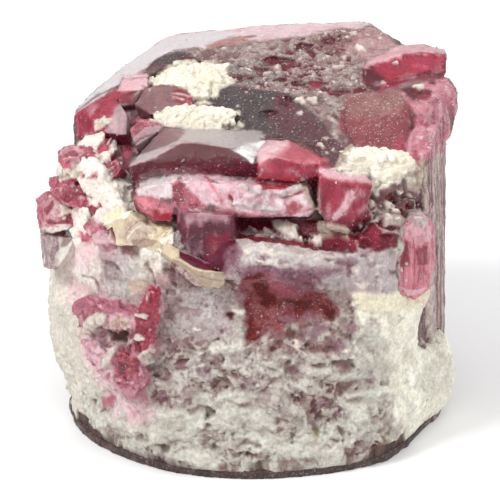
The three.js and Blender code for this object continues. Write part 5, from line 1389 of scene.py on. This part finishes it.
leftZones = [
    ("cream", 1.5, [52, 206, 64, 202, 74, 212, 60, 216, 50, 214]),
    ("glassyGrey", 1.5, [42, 228, 75, 228, 75, 270, 40, 270]),
    ("creamCrust", 3, [60, 230, 80, 226, 80, 272, 56, 272, 57, 252], 0.9),
    # painted light: pale pink over the shaded lowest left crystal, lightening it
    ("palePink", 3, [42, 200, 52, 196, 60, 206, 56, 222, 44, 226], 0.7),
    ("creamCrust", 2, [44, 226, 60, 223, 76, 226, 76, 232, 56, 233, 42, 232], 0.9),
    ("rosyWash", 3, [60, 152, 76, 146, 88, 152, 80, 162, 64, 162], 0.6),
    ("wine", 1.5, [62, 232, 72, 232, 68, 246, 60, 246], 0.7),
    ("lilac", 1.5, [68, 160, 80, 158, 82, 170, 72, 172], 0.9),
    ("cream", 1.5, [58, 170, 80, 168, 100, 164, 102, 172, 80, 178, 60, 182]),
    ("cream", 1.2, [88, 196, 100, 194, 106, 204, 90, 206]),
    ("palePink", 1.5, [78, 160, 96, 156, 96, 166, 82, 168], 0.8),
    ("rosyWash", 3, [82, 232, 120, 228, 124, 252, 82, 252], 0.8),
    ("rosyWash", 3, [86, 214, 104, 214, 104, 226, 88, 230], 0.4),
    *blobs("gemDeep", 1, 0.9, 0.06, (70, 155, 7, 4, -10), (84, 158, 6, 4), (92, 150, 4, 3),
        (76, 192, 8, 5, 10), (66, 198, 6, 4), (90, 188, 5, 6, 20), (48, 208, 5, 7, 20), (52, 222, 8, 3, 5),
        (64, 222, 5, 2), (108, 166, 6, 5), (114, 172, 4, 4), (106, 230, 3, 6, -30)),
    *blobs("pinkSkin", 0.8, 0.9, -0.08, (66, 152, 3, 2), (80, 152, 3, 1.6), (73, 163, 3, 2),
        (90, 160, 2.4, 3), (72, 186, 3, 2), (84, 180, 4, 1.6), (60, 190, 2.4, 3), (82, 198, 3, 2),
        (46, 204, 2, 5, 20), (58, 212, 3, 3), (56, 226, 4, 1.4), (106, 162, 2, 1.6), (112, 168, 2, 2),
        (102, 172, 2, 1.6), (118, 164, 1.6, 1.6)),
    *blobs("chipWhite", 0.8, 0.9, -0.05, (76, 190, 1.4, 1.4), (70, 158, 1.2, 1), (64, 218, 2, 1.6),
        (88, 154, 1.2, 1), (109, 170, 1.4, 1.2), (50, 196, 1.6, 1), (60, 180, 1.8, 1.2)),
]
smallPieces = {  # by material: look, then each node, piece, mesh size, finish, zones, relief, triangles
    "cream_albite": (creamLook, [
        ("albite_pocket_rear", "pocketRear", 0.1, "cream", [], 0.22, 60000),
        ("albite_pocket_front", "pocketFront", 0.1, "cream", frontZones, 0.22, 60000),
        ("albite_pocket_right", "pocketRight", 0.1, "cream", [], 0.22, 60000),
    ]),
    "mica": (micaLook, [
        ("mica_flake", "micaFlake", 0.08, "micaEdge", flakeZones, 0.06, 40000),
        ("mica_scales", "micaScales", 0.08, "mica", scaleZones, 0.08, 60000),
    ]),
    "pink_crystal": (pinkLook, [
        ("side_crystal_right", "sideCrystal", 0.08, "rose", sideZones, 0.03, 50000),
        ("lower_left_crystal", "lowerLeftCrystal", 0.1, "roseFrost", lowerLeftZones, 0.3, 80000),
        ("left_crystal_top", "leftTop", 0.08, "etchedRose", leftZones, 0.16, 30000),
        ("left_crystal_inner", "leftInner", 0.08, "etchedRose", leftZones, 0.16, 20000),
        ("left_crystal_middle", "leftMiddle", 0.08, "etchedRose", leftZones, 0.16, 40000),
        ("left_crystal_lower", "leftLower", 0.08, "etchedRose", leftZones, 0.16, 30000),
        ("left_crystal_foot", "leftFoot", 0.08, "glassyGrey", leftZones, 0.08, 30000),
        ("left_crystal_small", "leftSmall", 0.08, "etchedRose", leftZones, 0.16, 20000),
    ]),
}
smallShape = {  # sizes in mm
    "grain": 0.85, "fineGrain": 0.4, "grainPatch": 1.4, "lump": 0.6, "plate": 0.9, "stray": (0.7, 0.1),
    "buried": (0.55, 0.4), "seam": 0.6,
}
crustTree, coreTree = treeOf("albite_crust"), treeOf("tourmaline_crystal")
for slot, (look, pieces) in smallPieces.items():
    stone = stoneMaterial(slot, look)
    for nodeName, pieceName, meshSize, base, zones, bumps, triangles in pieces:
        piece, cage = finePiece(nodeName, pieceName, meshSize)
        where, facing = places(piece), facings(piece)
        paint = coat(base, where)
        seen = seenFrom(cage, where, facing)
        gap = np.minimum(*(nearest(where, tree, smallShape["seam"])[1] for tree in (crustTree, coreTree)))
        buried = ease(*smallShape["buried"], gap) * (seen == 0)
        paintZones(where, seen, zones, paint)
        if slot == "cream_albite":  # round grains
            height = 1.3 * plates(warped(where, 0.8, 0.3, 84), smallShape["grain"], 80)[1]
            height = height + 0.7 * plates(where, smallShape["fineGrain"], 82)[1]
            height = height + 0.6 * rough(where, smallShape["grainPatch"], 9)
        else:
            height = rough(where, smallShape["lump"], 9, 4) + plates(where, smallShape["plate"], 80)[0]
        paint[:, hollow] = ease(-0.8, 0.6, height)
        out = height * bumps - paint[:, dent]
        if nodeName not in pocketNodes and nodeName != "mica_flake":
            stray = "creamCrust" if nodeName in leftNodes + micaNodes else "albite"
            out += sprinkle(where, paint, crustTree, stray, *smallShape["stray"])
        moved = where + facing * out[:, None]
        if nodeName in pocketNodes:
            moved = closeSeams(moved, coreTree, smallShape["seam"])
        finishPiece(piece, cage, moved, paint, seen, buried, triangles, stone, slot, nodeName)

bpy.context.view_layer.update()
report("finished")
